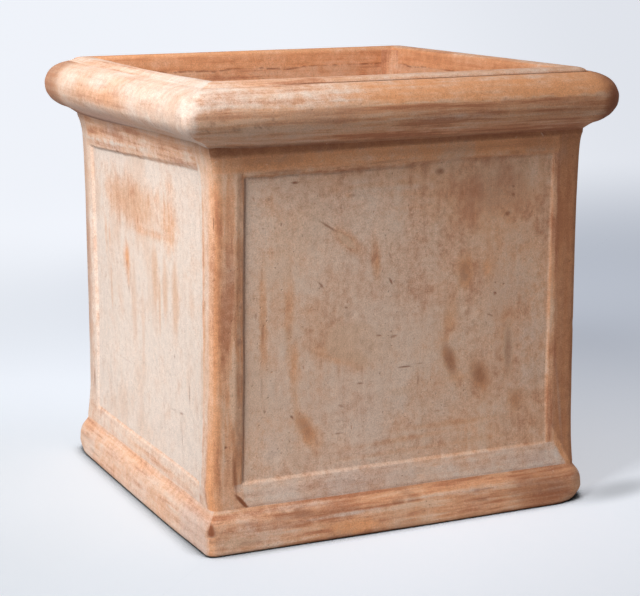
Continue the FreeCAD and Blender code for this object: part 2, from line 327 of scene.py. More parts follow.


# Wear and painted shade on the points

# Marks by what they leave, each (across, height, half width, half height, percent, and its turn
# in degrees if it has one), in millimetres on the side as seen from outside. Bare takes wash away,
# and bare and wash are laid in the order in which they stand here.
FACE_MARKS = {
    "front": (
        ("bare", (92, 342.2, 62, 40, 100), (-77.8, 213.7, 34, 26, 61, -25), (-67.8, 189.8, 36, 9, 98, -22),
         (40.2, 378, 125, 11, 79), (20.2, 367, 90, 4, 67, 2), (40.1, 352, 70, 4, 55, -3),
         (60.1, 336.1, 60, 3, 43, -3), (76.9, 266.2, 10, 20, 100), (103.8, 268.3, 8, 12, 79),
         (59.9, 218.3, 9, 17, 98, -12), (58.9, 170.5, 8, 23, 100, 20), (67.8, 152.6, 14, 6, 98),
         (94.7, 150.7, 12, 20, 100, 22), (140.3, 117.1, 9, 14, 100, 10), (127.5, 180.7, 8, 36, 43),
         (-154.8, 239.4, 4, 50, 100), (-125.8, 239.5, 5, 48, 92), (-120.7, 179.6, 6, 36, 79),
         (-107.7, 115.8, 10, 26, 100, 28), (-59.8, 309.7, 7, 20, 100, 48), (-27.8, 284.9, 5, 22, 100, 5),
         (59.8, 102.8, 50, 3, 61), (10, 92.5, 54, 2.6, 61, 2), (-10, 79.5, 80, 2.4, 35, 1),
         (89.6, 81.1, 30, 2.4, 35, 2)),
        ("wash", (192, 121.3, 2, 62, 50, 6.5), (147.4, 151, 26, 90, 25), (183.2, 220, 1.5, 160, 42, 0.5),
         (168, 384, 26, 12, 30)),
        ("bare", (-209, 230, 6, 170, 50), (-210.7, 49.4, 5, 92, 95)),
        ("wash", (-212.9, 289.2, 3.5, 110, 45)),
        ("straw", (92, 335.2, 66, 48, 43), (-59.8, 254.8, 60, 50, 55, 20), (-47.8, 199.9, 46, 30, 98, -20),
         (0, 144.3, 22, 6, 85), (129.5, 180.7, 9, 40, 85), (-61.8, 309.7, 5, 16, 100, 48),
         (-110, 322, 62, 50, 61), (60, 392, 40, 8, 50)),
        ("glow", (-79.8, 191.8, 24, 7, 49, -24), (76.9, 266.2, 8, 17, 88), (103.8, 268.3, 6, 10, 58),
         (59.9, 218.3, 7, 15, 72, -12), (58.9, 170.5, 7, 20, 88, 20), (67.8, 152.6, 12, 5, 70),
         (94.7, 150.7, 10, 18, 95, 22), (140.3, 117.1, 6, 11, 78, 10), (-120.7, 189.6, 4, 22, 54),
         (-107.7, 115.8, 9, 23, 72, 28), (-26.8, 281.9, 3, 13, 54), (-57.7, 356.8, 10, 3.5, 78),
         (-209, 230, 5, 160, 50), (-211.7, 39.4, 4.5, 82, 60)),
        ("rust", (100.6, 142.8, 6, 8, 25, 20), (145.3, 109.2, 7, 1.8, 40, 35), (-154.8, 221.4, 2.6, 18, 41),
         (-155.8, 281.4, 2.2, 12, 36), (-156.7, 167.5, 1.6, 22, 36), (-125.8, 221.5, 5, 9, 34, -10),
         (-96.8, 102.9, 3, 9, 33, 10), (-123.7, 130.7, 1.8, 4, 60, 40), (-81.8, 325.7, 1.7, 14, 60, 57),
         (-26.8, 277.9, 1.6, 9, 36), (-41.8, 320.8, 3, 1.8, 44), (-33.8, 322.8, 2.2, 1.8, 40),
         (-118.8, 372.6, 5, 1.7, 62), (-54.7, 355.8, 7, 2, 47), (45.2, 374, 5.8, 4.8, 55),
         (132.9, 353.3, 2.4, 1.8, 60), (132.8, 344.3, 3, 3, 61), (125.8, 324.3, 5, 3.6, 57),
         (119.9, 330.3, 2, 2, 46), (-147.8, 357.5, 2.8, 1.8, 51), (-133.8, 331.5, 1.8, 1.6, 60),
         (-154.8, 328.5, 2, 1.6, 44), (-89.8, 265.6, 1.5, 7, 55, 40), (-90.8, 263.6, 1.5, 6, 51, -45),
         (-82.8, 269.7, 1.4, 4, 40, -30), (-10.8, 262.9, 1.7, 6, 55, 28), (-11.8, 289.9, 1.6, 5, 46, 25),
         (-61.8, 239.8, 2.2, 1.8, 60), (-162.8, 240.4, 2.2, 4, 44), (-45.8, 158, 4, 1.6, 55),
         (-43.8, 172, 1.5, 10, 38), (22, 155.3, 1.5, 11, 46), (6, 170.2, 10, 1.5, 62),
         (24, 171.8, 7, 1.4, 44, 3), (-24.9, 207, 4.5, 1.5, 60, -10), (-7.9, 204.1, 5.5, 1.6, 60, 5),
         (-67.8, 136, 4.5, 1.6, 51, -15), (-71.8, 120, 3.4, 1.5, 44, 20), (-65.8, 128, 1.5, 3.2, 38, 30),
         (-71.8, 107, 6, 1.7, 51), (-74.8, 113, 3, 1.4, 38), (44.8, 117.6, 4.4, 1.4, 47),
         (54.8, 121.7, 4.4, 1.4, 47), (52.8, 113.7, 3.4, 1.4, 40), (106.7, 216.5, 6, 1.4, 51, -25),
         (112.7, 239.5, 2.2, 2.2, 62), (124.6, 203.6, 5, 5, 33), (159.2, 99.3, 3.5, 5, 29),
         (-153.7, 140.5, 1.6, 3, 51), (132, 389.2, 14, 5, 36), (-134.8, 384.6, 34, 2.6, 42, 1),
         (-19.7, 388.4, 34, 2.2, 38, 2), (-186.7, 79.5, 2.4, 27, 60, 3), (-181.7, 50.6, 2.6, 13, 85, 35),
         (-196.7, 109.3, 2, 2, 65), (-188.7, 121.3, 3.4, 16, 35), (189, 97.5, 5.5, 46, 45, 6),
         (172, 59.6, 10, 6, 32), (97.5, 48.2, 8, 6, 30), (-87.8, 46.1, 8, 5, 25), (109.5, 68.2, 24, 2, 36),
         (112, 348, 62, 34, 31), (58.9, 172, 9, 24, 50, 20), (94.7, 152, 12, 21, 50, 22),
         (129.5, 176, 6, 34, 42), (76.9, 266, 9, 17, 42), (140.3, 118, 8, 13, 40, 10),
         (-107.7, 117, 9, 23, 40, 28), (128, 240, 44, 110, 21), (187.5, 230, 1.3, 150, 50, 0.3),
         (-150, 397, 60, 9, 36), (165, 396, 46, 14, 36), (40, 398, 120, 7, 30), (-195.9, 329.3, 6, 60, 25)),
        ("chalk", (147.4, 160.9, 30, 92, 38), (-151.7, 111.6, 22, 30, 30), (-19.9, 58.5, 190, 12, 35),
         (99.8, 250.4, 26, 14, 20), (-19.9, 118.3, 90, 26, 17), (-91.8, 144.8, 20, 20, 20)),
    ),
    "left": (
        ("bare", (-39.4, 326.7, 97, 28, 70), (82, 322, 24, 36, 55), (30.3, 300.4, 60, 5, 45, 3),
         (34.5, 255.5, 10.4, 40, 31), (66.4, 245.3, 9.1, 36, 27), (97.3, 240.1, 10.4, 45, 31),
         (48.6, 225.5, 3.9, 34, 29), (-8.9, 191.1, 6.5, 50, 16), (-38.8, 211.2, 11.7, 60, 18),
         (-118.1, 216.8, 3.9, 34, 21), (-133.3, 273.5, 5.2, 24, 42), (-120.4, 276.4, 3.9, 18, 36),
         (-58.9, 263.1, 11, 17, 71), (-55.8, 241.2, 3.9, 16, 42), (-192, 180, 8, 120, 25)),
        ("wash", (-163.4, 202.3, 8, 180, 35), (152.4, 199.8, 15, 180, 35)),
        ("bare", (-119.2, 395.8, 92, 10, 38)),
        ("wash", (59.8, 392.1, 70, 7, 45, -2)),
        ("bare", (208, 60, 7, 76, 85), (31.5, 51.7, 120, 7, 40, -1), (190, 240, 4, 130, 55)),
        ("wash", (197, 130, 3, 60, 60), (175, 329.5, 6, 60, 50)),
        ("rust", (-200, 230, 13, 180, 42), (32.3, 302.3, 60, 2.4, 26, 3), (-68.3, 342.8, 5, 2.4, 35),
         (-55.8, 225.3, 2, 7, 50), (113.8, 121.4, 8, 2.2, 55, 8), (88.9, 119.7, 17, 1.6, 35, 6),
         (115.9, 95.5, 2, 14, 45, 8), (137.6, 148.1, 2, 13, 50, 3), (92.6, 178.3, 3, 3, 45),
         (-68.2, 140, 32, 1.5, 32, 1), (-185.3, 91.6, 4, 14, 50), (-196, 200, 2.4, 100, 32, 2),
         (-68.5, 379.6, 5, 2.6, 50)),
        ("straw", (-44.4, 328.7, 95, 26, 50), (34.5, 255.5, 10.4, 40, 81), (66.4, 245.3, 9.1, 36, 69),
         (97.3, 240.1, 10.4, 45, 81), (48.6, 225.5, 3.9, 34, 75), (-8.9, 191.1, 6.5, 50, 42),
         (-38.8, 211.2, 11.7, 60, 48), (-118.1, 216.8, 3.9, 34, 55)),
        ("glow", (-9.7, 342.5, 70, 12, 16, 2), (86.1, 310, 18, 14, 15), (-69.3, 342.8, 6, 3, 60),
         (-58.9, 264.1, 8, 12, 71), (-119.2, 395.8, 92, 10, 25), (208, 60, 6, 72, 80),
         (196, 130, 7, 76, 34), (207, 200, 5, 120, 40)),
    ),
    "right": (
        ("bare", (-120, 300, 8, 60, 70), (40, 330, 60, 18, 60, -8), (96, 180, 14, 24, 90, 20),
         (62, 150, 9, 18, 80, 12), (-60, 220, 22, 16, 70, 20), (-76, 126, 34, 12, 55, 8),
         (140, 120, 5, 40, 80), (20, 96, 70, 3, 45, 1), (-206, 90, 10, 110, 80)),
        ("straw", (40, 325, 64, 26, 60, -8), (-60, 220, 28, 20, 80, 20), (-70, 130, 50, 34, 70)),
        ("glow", (96, 180, 11, 20, 85, 20), (62, 150, 7, 14, 70, 12), (-206, 80, 8, 90, 70),
         (207, 110, 8, 80, 70)),
        ("rust", (20, 120, 1.8, 14, 60, 30), (130, 386, 18, 5, 65), (150, 260, 2.2, 2.2, 90),
         (140, 112, 2.4, 16, 45), (-150, 90, 2, 2, 80), (-20, 286, 8, 1.6, 75, 6),
         (10, 214, 1.6, 6, 60, 20), (-104, 346, 2.4, 2, 80), (66, 92, 6, 1.6, 60, -8)),
        ("chalk", (-20, 240, 60, 50, 60), (120, 330, 30, 36, 60), (-100, 60, 70, 14, 60)),
    ),
    "back": (
        ("bare", (110, 290, 7, 66, 70), (-50, 336, 80, 16, 65, 5), (-100, 150, 15, 24, 85, -20),
         (-70, 128, 9, 16, 70, -10), (66, 118, 30, 10, 55, -6), (10, 250, 10, 44, 60, 8),
         (20, 88, 80, 3, 45, -1)),
        ("straw", (-46, 330, 84, 26, 60, 5), (60, 120, 60, 30, 65)),
        ("glow", (-100, 150, 12, 18, 80, -20), (-70, 128, 7, 12, 65, -10), (-207, 100, 8, 90, 75),
         (207, 80, 8, 80, 75)),
        ("rust", (50, 210, 8, 12, 30, 40), (-20, 100, 1.8, 12, 60, -30), (-130, 388, 20, 4, 65),
         (152, 330, 2.2, 2.2, 90), (96, 360, 2, 2, 80), (24, 168, 10, 1.5, 70, 2),
         (-60, 222, 5, 1.6, 70, -8), (-148, 250, 2, 10, 45), (30, 300, 2, 5, 60, 30)),
        ("chalk", (0, 200, 80, 60, 55), (-120, 70, 60, 18, 60)),
    ),
}

# Limewash left on each side's panel, upper rail, lower rail, left post, right post and arrises
WASH_LEFT = {
    "front": (0.58, -0.10, 0.64, 0.18, -0.38, -0.20),
    "left": (1.00, 0.46, 0.74, 0.82, 0.60, 0.30),
    "right": (0.66, 0.18, 0.62, 0.24, 0.22, 0.06),
    "back": (0.72, 0.22, 0.60, 0.32, 0.26, 0.08),
}
# Limewash left on each side's lip, roll top, roll face, roll underside, foot top and foot face
TRIM_WASH = {
    "front": (0.46, 0.30, 0.05, 0.05, 0.00, 0.04),
    "left": (0.50, 0.62, 0.58, 0.70, 0.40, 0.58),
    "right": (0.36, 0.44, 0.20, 0.20, 0.10, 0.26),
    "back": (-0.08, 0.40, 0.30, 0.26, 0.14, 0.30),
}
# The panel's left, upper, right and lower edge on each side, each with the wash on the gentle
# bevel, the rust on it, the wash on the steep edge (partly painted highlight where it faces the light)
# and the rust along the panel's border (painted shadow and dirt)
EDGE_TONES = {
    "front": ((0.0, 0.4, 0.0, 0.5), (0.12, 0.2, 0.05, 0.3), (0.16, 0.22, 0.52, 0.0), (0.6, 0.05, 0.58, 0.0)),
    "left": ((0.8, 0.12, 0.8, 0.2), (0.5, 0.12, 0.75, 0.12), (0.95, 0.0, 0.9, 0.18), (0.72, 0.12, 0.48, 0.2)),
    "right": ((0.1, 0.34, 0.1, 0.6), (0.2, 0.26, 0.1, 0.4), (0.4, 0.1, 0.8, 0.1), (0.55, 0.0, 0.8, 0.1)),
    "back": ((0.2, 0.24, 0.2, 0.5), (0.2, 0.28, 0.1, 0.4), (0.4, 0.1, 0.8, 0.1), (0.60, 0.0, 0.8, 0.1)),
}
# Width of the steep edge at each side's panel head, in millimetres at four places across it
HEAD_PLACES = (-176, 0, 60, 176)
HEAD_EDGE = {"front": (2.6, 3.2, 8.0, 8.0), "left": (3.0, 4.5, 7.0, 8.0), "right": (2.0, 6.0, 3.0, 2.0),
             "back": (3.0, 2.0, 5.0, 2.0)}
# Width of the steep edge at the panel's left, right and foot, in millimetres
STEEP = {"front": (2.2, 3.6, 3.8), "left": (3.4, 2.2, 3.8), "right": (2.2, 2.2, 2.2),
         "back": (2.2, 2.2, 2.2)}
# Height of each panel's upper edge at its left and right end, then of its lower one, in millimetres
PANEL_EDGES = {"front": (380.1, 381.7, 70.6, 69.0), "left": (372.6, 384.6, 61.3, 64.5),
               "right": (378.5, 383.0, 68.0, 71.5), "back": (382.0, 378.6, 71.5, 68.0)}


class WearAndShade(dict):
    """How much of each mark lies on a member's points: wear, and painted shade."""

    def __init__(self, shape, upright):
        super().__init__({mark: np.zeros(shape) for mark in MARKED})
        self.update(upright=np.full(shape, float(upright)), brush=np.ones(shape), blotch=np.ones(shape))

    def most(self, mark, amount):
        """Raises a mark where there is less of it than the amount."""
        self[mark] = np.maximum(self[mark], amount)

    def blend(self, mark, amount, share):
        """Moves a mark by a share of the way to an amount."""
        self[mark] = mix(self[mark], amount, share)

    def cover(self, kind, amount):
        """Lays one listed mark on."""
        if kind == "bare":
            self["wash"] *= 1 - amount
        else:
            self.most(kind, amount)


def spot(across, height, points, x, z, half_wide, half_high, percent, turn=0):
    """How strongly one listed mark covers each point."""
    c, s = math.cos(math.radians(turn)), math.sin(math.radians(turn))
    dx, dz = across / MM - x, height / MM - z
    far = ((dx * c + dz * s) / half_wide) ** 2 + ((dz * c - dx * s) / half_high) ** 2
    near = far < 6
    cover = np.zeros(across.shape)
    if near.any():
        ragged = 1 + 0.55 * noise(points[near] * (1, 1, 0.6), 9 * MM, 31, 2)
        cover[near] = percent / 100 * np.exp(-(far[near] * np.clip(ragged, 0.2, 2)) ** 1.4)
    return cover


def edge_distances(shape, side, across, height):
    """How far inside each of the panel's four edges a point is: left, head, right, foot."""
    ends = (-shape.panel_width, shape.panel_width)
    head_l, head_r, foot_l, foot_r = (value * MM for value in PANEL_EDGES[side])
    low = 1 - height / shape.panel_head
    lean = by_side(side, 2.2, 0.0, 0.0) * MM * low
    far = by_side(side, 0.0, 1.6 * MM + 2.6 * MM * low, 0.0)
    return [across + shape.panel_width + lean - far,
            np.interp(across, ends, (head_l, head_r)) - height,
            shape.panel_width - across + 1.5 * MM - lean,
            height - np.interp(across, ends, (foot_l, foot_r))]


def panel_relief(shape, side, across, height, flat):
    """The sunk share of each point, and the same for the gentle bevel outside the steep edge."""
    wander = 0.5 * MM * noise(flat, 40 * MM, 12, 2).reshape(across.shape)
    torn = noise(flat, 12 * MM, 13, 3).reshape(across.shape)
    left, right, foot = (width * MM for width in STEEP[side])
    head = np.interp(across, *np.array((HEAD_PLACES, HEAD_EDGE[side])) * MM)
    sunk, bevel = 1.0, 1.0
    distances = edge_distances(shape, side, across, height)
    for i, (steep, tear) in enumerate(((left, 0.35), (head, 1.3), (right, 0.35), (foot, 0.35))):
        distances[i] = distances[i] + wander + tear * MM * torn
        sunk = sunk * step(-steep, 0, distances[i])
        bevel = bevel * step(-shape.panel_slope - steep, -0.6 * steep, distances[i])
    return sunk, bevel, distances


def paint_edges(marks, side, across, distances, torn):
    """Wear on the bevel and the steep edge round the panel, with a paler wash on the steep edge that is
    partly painted highlight where it faces the light, and painted shadow and dirt along its border.
    """
    for i, (bevel_wash, bevel_rust, steep_wash_and_highlight, border_shade_and_dirt) in enumerate(EDGE_TONES[side]):
        own = distances[i]
        others = np.min([d for j, d in enumerate(distances) if j != i], axis=0)
        on_bevel = (step(-13 * MM, -8 * MM, own) * (1 - step(-2.5 * MM, -1 * MM, own))
                    * step(-12 * MM, -8 * MM, others))
        on_steep = bell(own, -1.0 * MM, 0.95 * MM) * step(-3 * MM, 0, others)
        border = bell(own, 1.0 * MM, 1.5 * MM) * step(-3 * MM, 0, others)
        if i == 1:
            fading = by_side(side, 1 - 0.8 * step(-0.03, 0.06, across), 1 - step(0.02, 0.14, across), 0.8)
            border = border * step(-0.5, 0.15, torn) * fading
            on_steep = on_steep * fading
        marks.blend("wash", bevel_wash, on_bevel)
        marks.most("rust", bevel_rust * on_bevel * (0.85 + 0.5 * torn))
        on_steep = on_steep * (0.75 + 0.5 * step(-0.5, 0.5, torn))
        # Paler wash on the steep edge: partly a painted highlight where it faces the light.
        marks.blend("wash", steep_wash_and_highlight, np.clip(on_steep, 0, 1))
        if steep_wash_and_highlight > 0.5:
            marks["rust"] = marks["rust"] * (1 - 0.8 * on_steep)
        # Painted shadow and dirt along the panel's border.
        marks.most("rust", border_shade_and_dirt * border)


def seam_crack(points, height, torn):
    """Height of the wavy seam below the lip inside, and its dark crack."""
    seam = WALL_TOP + 5.0 * MM * noise(points, 46 * MM, 61, 3)
    crack = bell(height, seam, 1.5 * MM) * step(-0.55, -0.1, torn)
    return seam, crack * step(-0.7, 0.2, noise(points, 6 * MM, 17, 3))


def paint_wall(shape, side, across, height, sunk, distances, outside, points):
    """Wear and painted shade on a wall: heavy wash on the panel, rubbed posts and rails, raw clay inside,
    painted shade under the roll and on the front's right side.
    """
    panel, head, foot, post_l, post_r, arris = WASH_LEFT[side]
    worn, broad, torn = wear_noise(points, (1, 1, 0.35), (34, 120, 9), (3, 5, 14))
    marks = WearAndShade(across.shape, 1)
    framed = 1 - sunk
    half = shape.panel_width
    rail = np.where(height > 0.5 * (shape.panel_foot + shape.panel_head), head, foot)
    frame_wash = mix(rail, post_l, step(half, half + 6 * MM, -across))
    past = across + 2 * MM * torn - by_side(side, 0.55 * np.clip(84 * MM - height, 0, 1), 0.0, 0.0)
    frame_wash = mix(frame_wash, post_r, step(half, half + 6 * MM, past))
    to_arris = across if side == "left" else np.abs(across)
    frame_wash = mix(frame_wash, arris, step(0.2, 0.2095, to_arris))
    marks["wash"] = mix(frame_wash, panel, sunk) + 0.10 * worn + 0.12 * broad
    marks["glow"] = 0.35 * step(0.1975, 0.205, to_arris) * framed + 0.25 * step(0.15, 0.6, worn) * framed
    on_rail = step(1 * MM, 6 * MM, -np.minimum(distances[1], distances[3]))
    on_rail = on_rail * step(-4 * MM, 2 * MM, np.minimum(distances[0], distances[2]))
    marks["upright"] = 1 - on_rail
    upper = on_rail * (height > 0.3)
    marks["brush"] = mix(mix(0.72, 0.95, upper), by_side(side, 0.42, 0.6, 0.5), sunk)
    marks["blotch"] = mix(mix(0.78, 1.25, upper), by_side(side, 1.15, 0.75, 1.0), sunk)
    marks["straw"] = by_side(side, 0.46, 0.12, 0.12) * sunk
    marks["straw"] += by_side(side, 0.2, 0.0, 0.0) * framed * step(0.17, 0.13, across)
    for kind, *places in FACE_MARKS[side]:
        for place in places:
            marks.cover(kind, spot(across, height, points, *place))
    paint_edges(marks, side, across, distances, torn)
    if side == "left":
        ridge = bell(distances[1], -12 * MM, 1.8 * MM) * step(0.1, -0.02, across)
        marks.blend("wash", 0.95, 0.85 * ridge * step(-0.6, 0.0, torn))
    if side == "front":
        by_roll = step(382 * MM, 392 * MM, height)
        # Painted shade on the front's right side, where the light falls off: less wash on the right of the
        # panel, and rust-coloured clay on the right post.
        marks["wash"] = marks["wash"] - 0.27 * step(0.0, 0.11, across) * sunk
        marks.most("rust", 0.46 * step(0.181, 0.187, past))
        marks.most("glow", 0.48 * step(0.184, 0.190, across))
        marks.most("rust", 0.18 * by_roll)
        marks.most("straw", 0.2 * by_roll * step(-0.4, 0.4, broad))
        marks.most("glow", 0.62 * step(382 * MM, 390 * MM, height))
    # A dark band with little wash just under the roll: partly the clay's own colour, partly painted shade
    # beneath the roll, deeper on the front than on the left.
    deep, strong = by_side(side, (10 * mix(1.0, 0.55, step(-0.15, 0.0, across)), 0.54), (6, 0.30), (9, 0.6))
    under_rim_shade = strong * step(RIM_LOW - deep * MM, RIM_LOW - 1 * MM, height)
    marks.most("rust", under_rim_shade)
    marks["wash"] *= 1 - 0.8 * under_rim_shade
    by_foot = bell(height, 45.0 * MM + foot_drop(side, across), 2.2 * MM)
    marks.most("rust", by_side(side, 0.36, 0.22, 0.36) * by_foot * (0.9 + 0.4 * torn))
    seam, crack = seam_crack(points, height, torn)
    smudge = bell(height, seam - 6 * MM, 5 * MM) * step(0.1, 0.5, worn)
    inner = {"wash": 0.04 + 0.14 * broad + 0.1 * worn, "rust": np.maximum(0.60 * crack, 0.30 * smudge),
             "glow": 0.36 + 0.25 * broad, "straw": 0.36 + 0.35 * broad, "upright": 0.0}
    for mark, amount in inner.items():
        marks[mark] = np.where(outside, marks[mark], amount)
    return marks


# Node trees

class Nodes:
    """Adds nodes to a tree, and links or fills the inputs that are given."""

    def __init__(self, tree):
        self.tree = tree
        tree.nodes.clear()

    def put(self, kind, values=None, out=0, **settings):
        """Gives one of the new node's outputs, or all of them if out is None."""
        node = self.tree.nodes.new(kind if kind.startswith("Geometry") else "ShaderNode" + kind)
        for key, value in settings.items():
            setattr(node, key, value)
        for key, value in (values or {}).items():
            if isinstance(value, bpy.types.NodeSocket):
                self.tree.links.new(value, node.inputs[key])
            else:
                node.inputs[key].default_value = value
        return node.outputs if out is None else node.outputs[out]

    def end(self, kind, name, result):
        """Links the result to the tree's output node."""
        self.tree.links.new(result, self.tree.nodes.new(kind).inputs[name])

    def maths(self, kind, a, b=0.0, clamp=False):
        return self.put("Math", {0: a, 1: b}, operation=kind, use_clamp=clamp)

    def product(self, a, b):
        return self.maths("MULTIPLY", a, b)

    def most(self, first, *others):
        """The largest of some numbers."""
        for other in others:
            first = self.maths("MAXIMUM", first, other)
        return first

    def fused(self, value, *parts):
        """Adds each part, times its share, to a value."""
        for part, share in parts:
            value = self.put("Math", {0: part, 1: share, 2: value}, operation="MULTIPLY_ADD")
        return value

    def vectors(self, kind, a, b):
        """A sum, product or the like of two vectors."""
        return self.put("VectorMath", {0: a, 1: b}, operation=kind)

    def times(self, vector, factor):
        """A vector times a number."""
        return self.put("VectorMath", {0: vector, "Scale": factor}, operation="SCALE")

    def reach(self, vector):
        """A vector's length."""
        return self.put("VectorMath", {0: vector}, "Value", operation="LENGTH")

    def spun(self, vector, turn):
        """A vector turned about the upright axis, in degrees."""
        return self.put("VectorRotate", {"Vector": vector, "Angle": math.radians(turn)},
                        rotation_type="Z_AXIS")

    def ramp(self, value, low, high):
        """A smooth step from 0 at low to 1 at high."""
        return self.put("MapRange", {"Value": value, "From Min": low, "From Max": high},
                        interpolation_type="SMOOTHSTEP")

    def choose(self, factor, a, b):
        """The number on the way from a to b."""
        return self.put("Mix", {0: factor, 2: a, 3: b}, data_type="FLOAT")

    def blend(self, factor, a, b, kind="MIX"):
        """The colour on the way from a to b."""
        a, b = (c if isinstance(c, bpy.types.NodeSocket) else (*c, 1.0) for c in (a, b))
        return self.put("Mix", {0: factor, 6: a, 7: b}, 2, data_type="RGBA", blend_type=kind,
                        clamp_factor=True)

    def noise(self, vector, scale, detail=3.0, rough=0.55):
        """Noise centred on nought."""
        raw = self.put("TexNoise", {"Vector": vector, "Scale": scale, "Detail": detail, "Roughness": rough})
        return self.maths("SUBTRACT", raw, 0.5)

    def paint(self, mark, kind="Fac"):
        """What is painted on the mesh under a name."""
        return self.put("Attribute", out=kind, attribute_name=mark)

    def seen(self):
        """1 for what the camera sees, also through glass and in mirrors."""
        path = self.put("LightPath", out=None)
        return self.most(path["Is Camera Ray"], path["Is Glossy Ray"], path["Is Transmission Ray"])


def worked_clay_tree():
    """Quarter turn, wandering sway, finger ripples and scattered dents, all fixed by position, so
    that members which touch keep touching."""
    tree = bpy.data.node_groups.new("worked_clay", "GeometryNodeTree")
    face = tree.interface
    face.new_socket("Member", in_out="INPUT", socket_type="NodeSocketGeometry")
    for name in ("Quarter turns", "Sway", "Ripple", "Dent depth", "Dent size", "Dent spacing",
                 "Floor level", "Seed"):
        face.new_socket(name, in_out="INPUT", socket_type="NodeSocketFloat")
    face.new_socket("Clay", in_out="INPUT", socket_type="NodeSocketMaterial")
    face.new_socket("Member", in_out="OUTPUT", socket_type="NodeSocketGeometry")
    t = Nodes(tree)
    given = tree.nodes.new("NodeGroupInput").outputs
    spin = t.put("CombineXYZ", {"Z": t.product(given["Quarter turns"], math.pi / 2)})
    laid = t.put("GeometryNodeTransform", {"Geometry": given["Member"], "Rotation": spin})
    place = t.put("GeometryNodeInputPosition")
    height = t.put("SeparateXYZ", {0: place}, "Z")
    moves = []
    for size, amount, detail in ((5.0, given["Sway"], 1.0), (34.0, given["Ripple"], 1.5)):
        wander = t.put("TexNoise", {"Vector": place, "W": given["Seed"], "Scale": size, "Detail": detail},
                       "Color", noise_dimensions="4D")
        moves.append(t.times(t.vectors("SUBTRACT", wander, (0.5, 0.5, 0.5)), amount))
    away = t.put("TexVoronoi", {"Vector": place, "Scale": t.maths("DIVIDE", 1.0, given["Dent spacing"])},
                 "Distance")
    close = t.maths("DIVIDE", t.product(away, given["Dent spacing"]), given["Dent size"])
    bowl = t.maths("SUBTRACT", 1.0, t.product(close, close), clamp=True)
    depth = t.product(t.product(bowl, bowl), given["Dent depth"])
    dent = t.times(t.put("GeometryNodeInputNormal"), t.product(depth, -1.0))
    total = t.vectors("ADD", t.vectors("ADD", *moves), dent)
    off_floor = t.put("MapRange", {"Value": height, "From Min": 0.001, "From Max": given["Floor level"]})
    freedom = t.put("CombineXYZ", {"X": off_floor, "Y": off_floor, "Z": t.product(off_floor, 0.4)})
    total = t.vectors("MULTIPLY", total, freedom)
    pressed = t.put("GeometryNodeSetPosition", {"Geometry": laid, "Offset": total})
    whole = t.put("GeometryNodeRealizeInstances", {"Geometry": pressed})
    t.end("NodeGroupOutput", "Member",
          t.put("GeometryNodeSetMaterial", {"Geometry": whole, "Material": given["Clay"]}))
    return tree


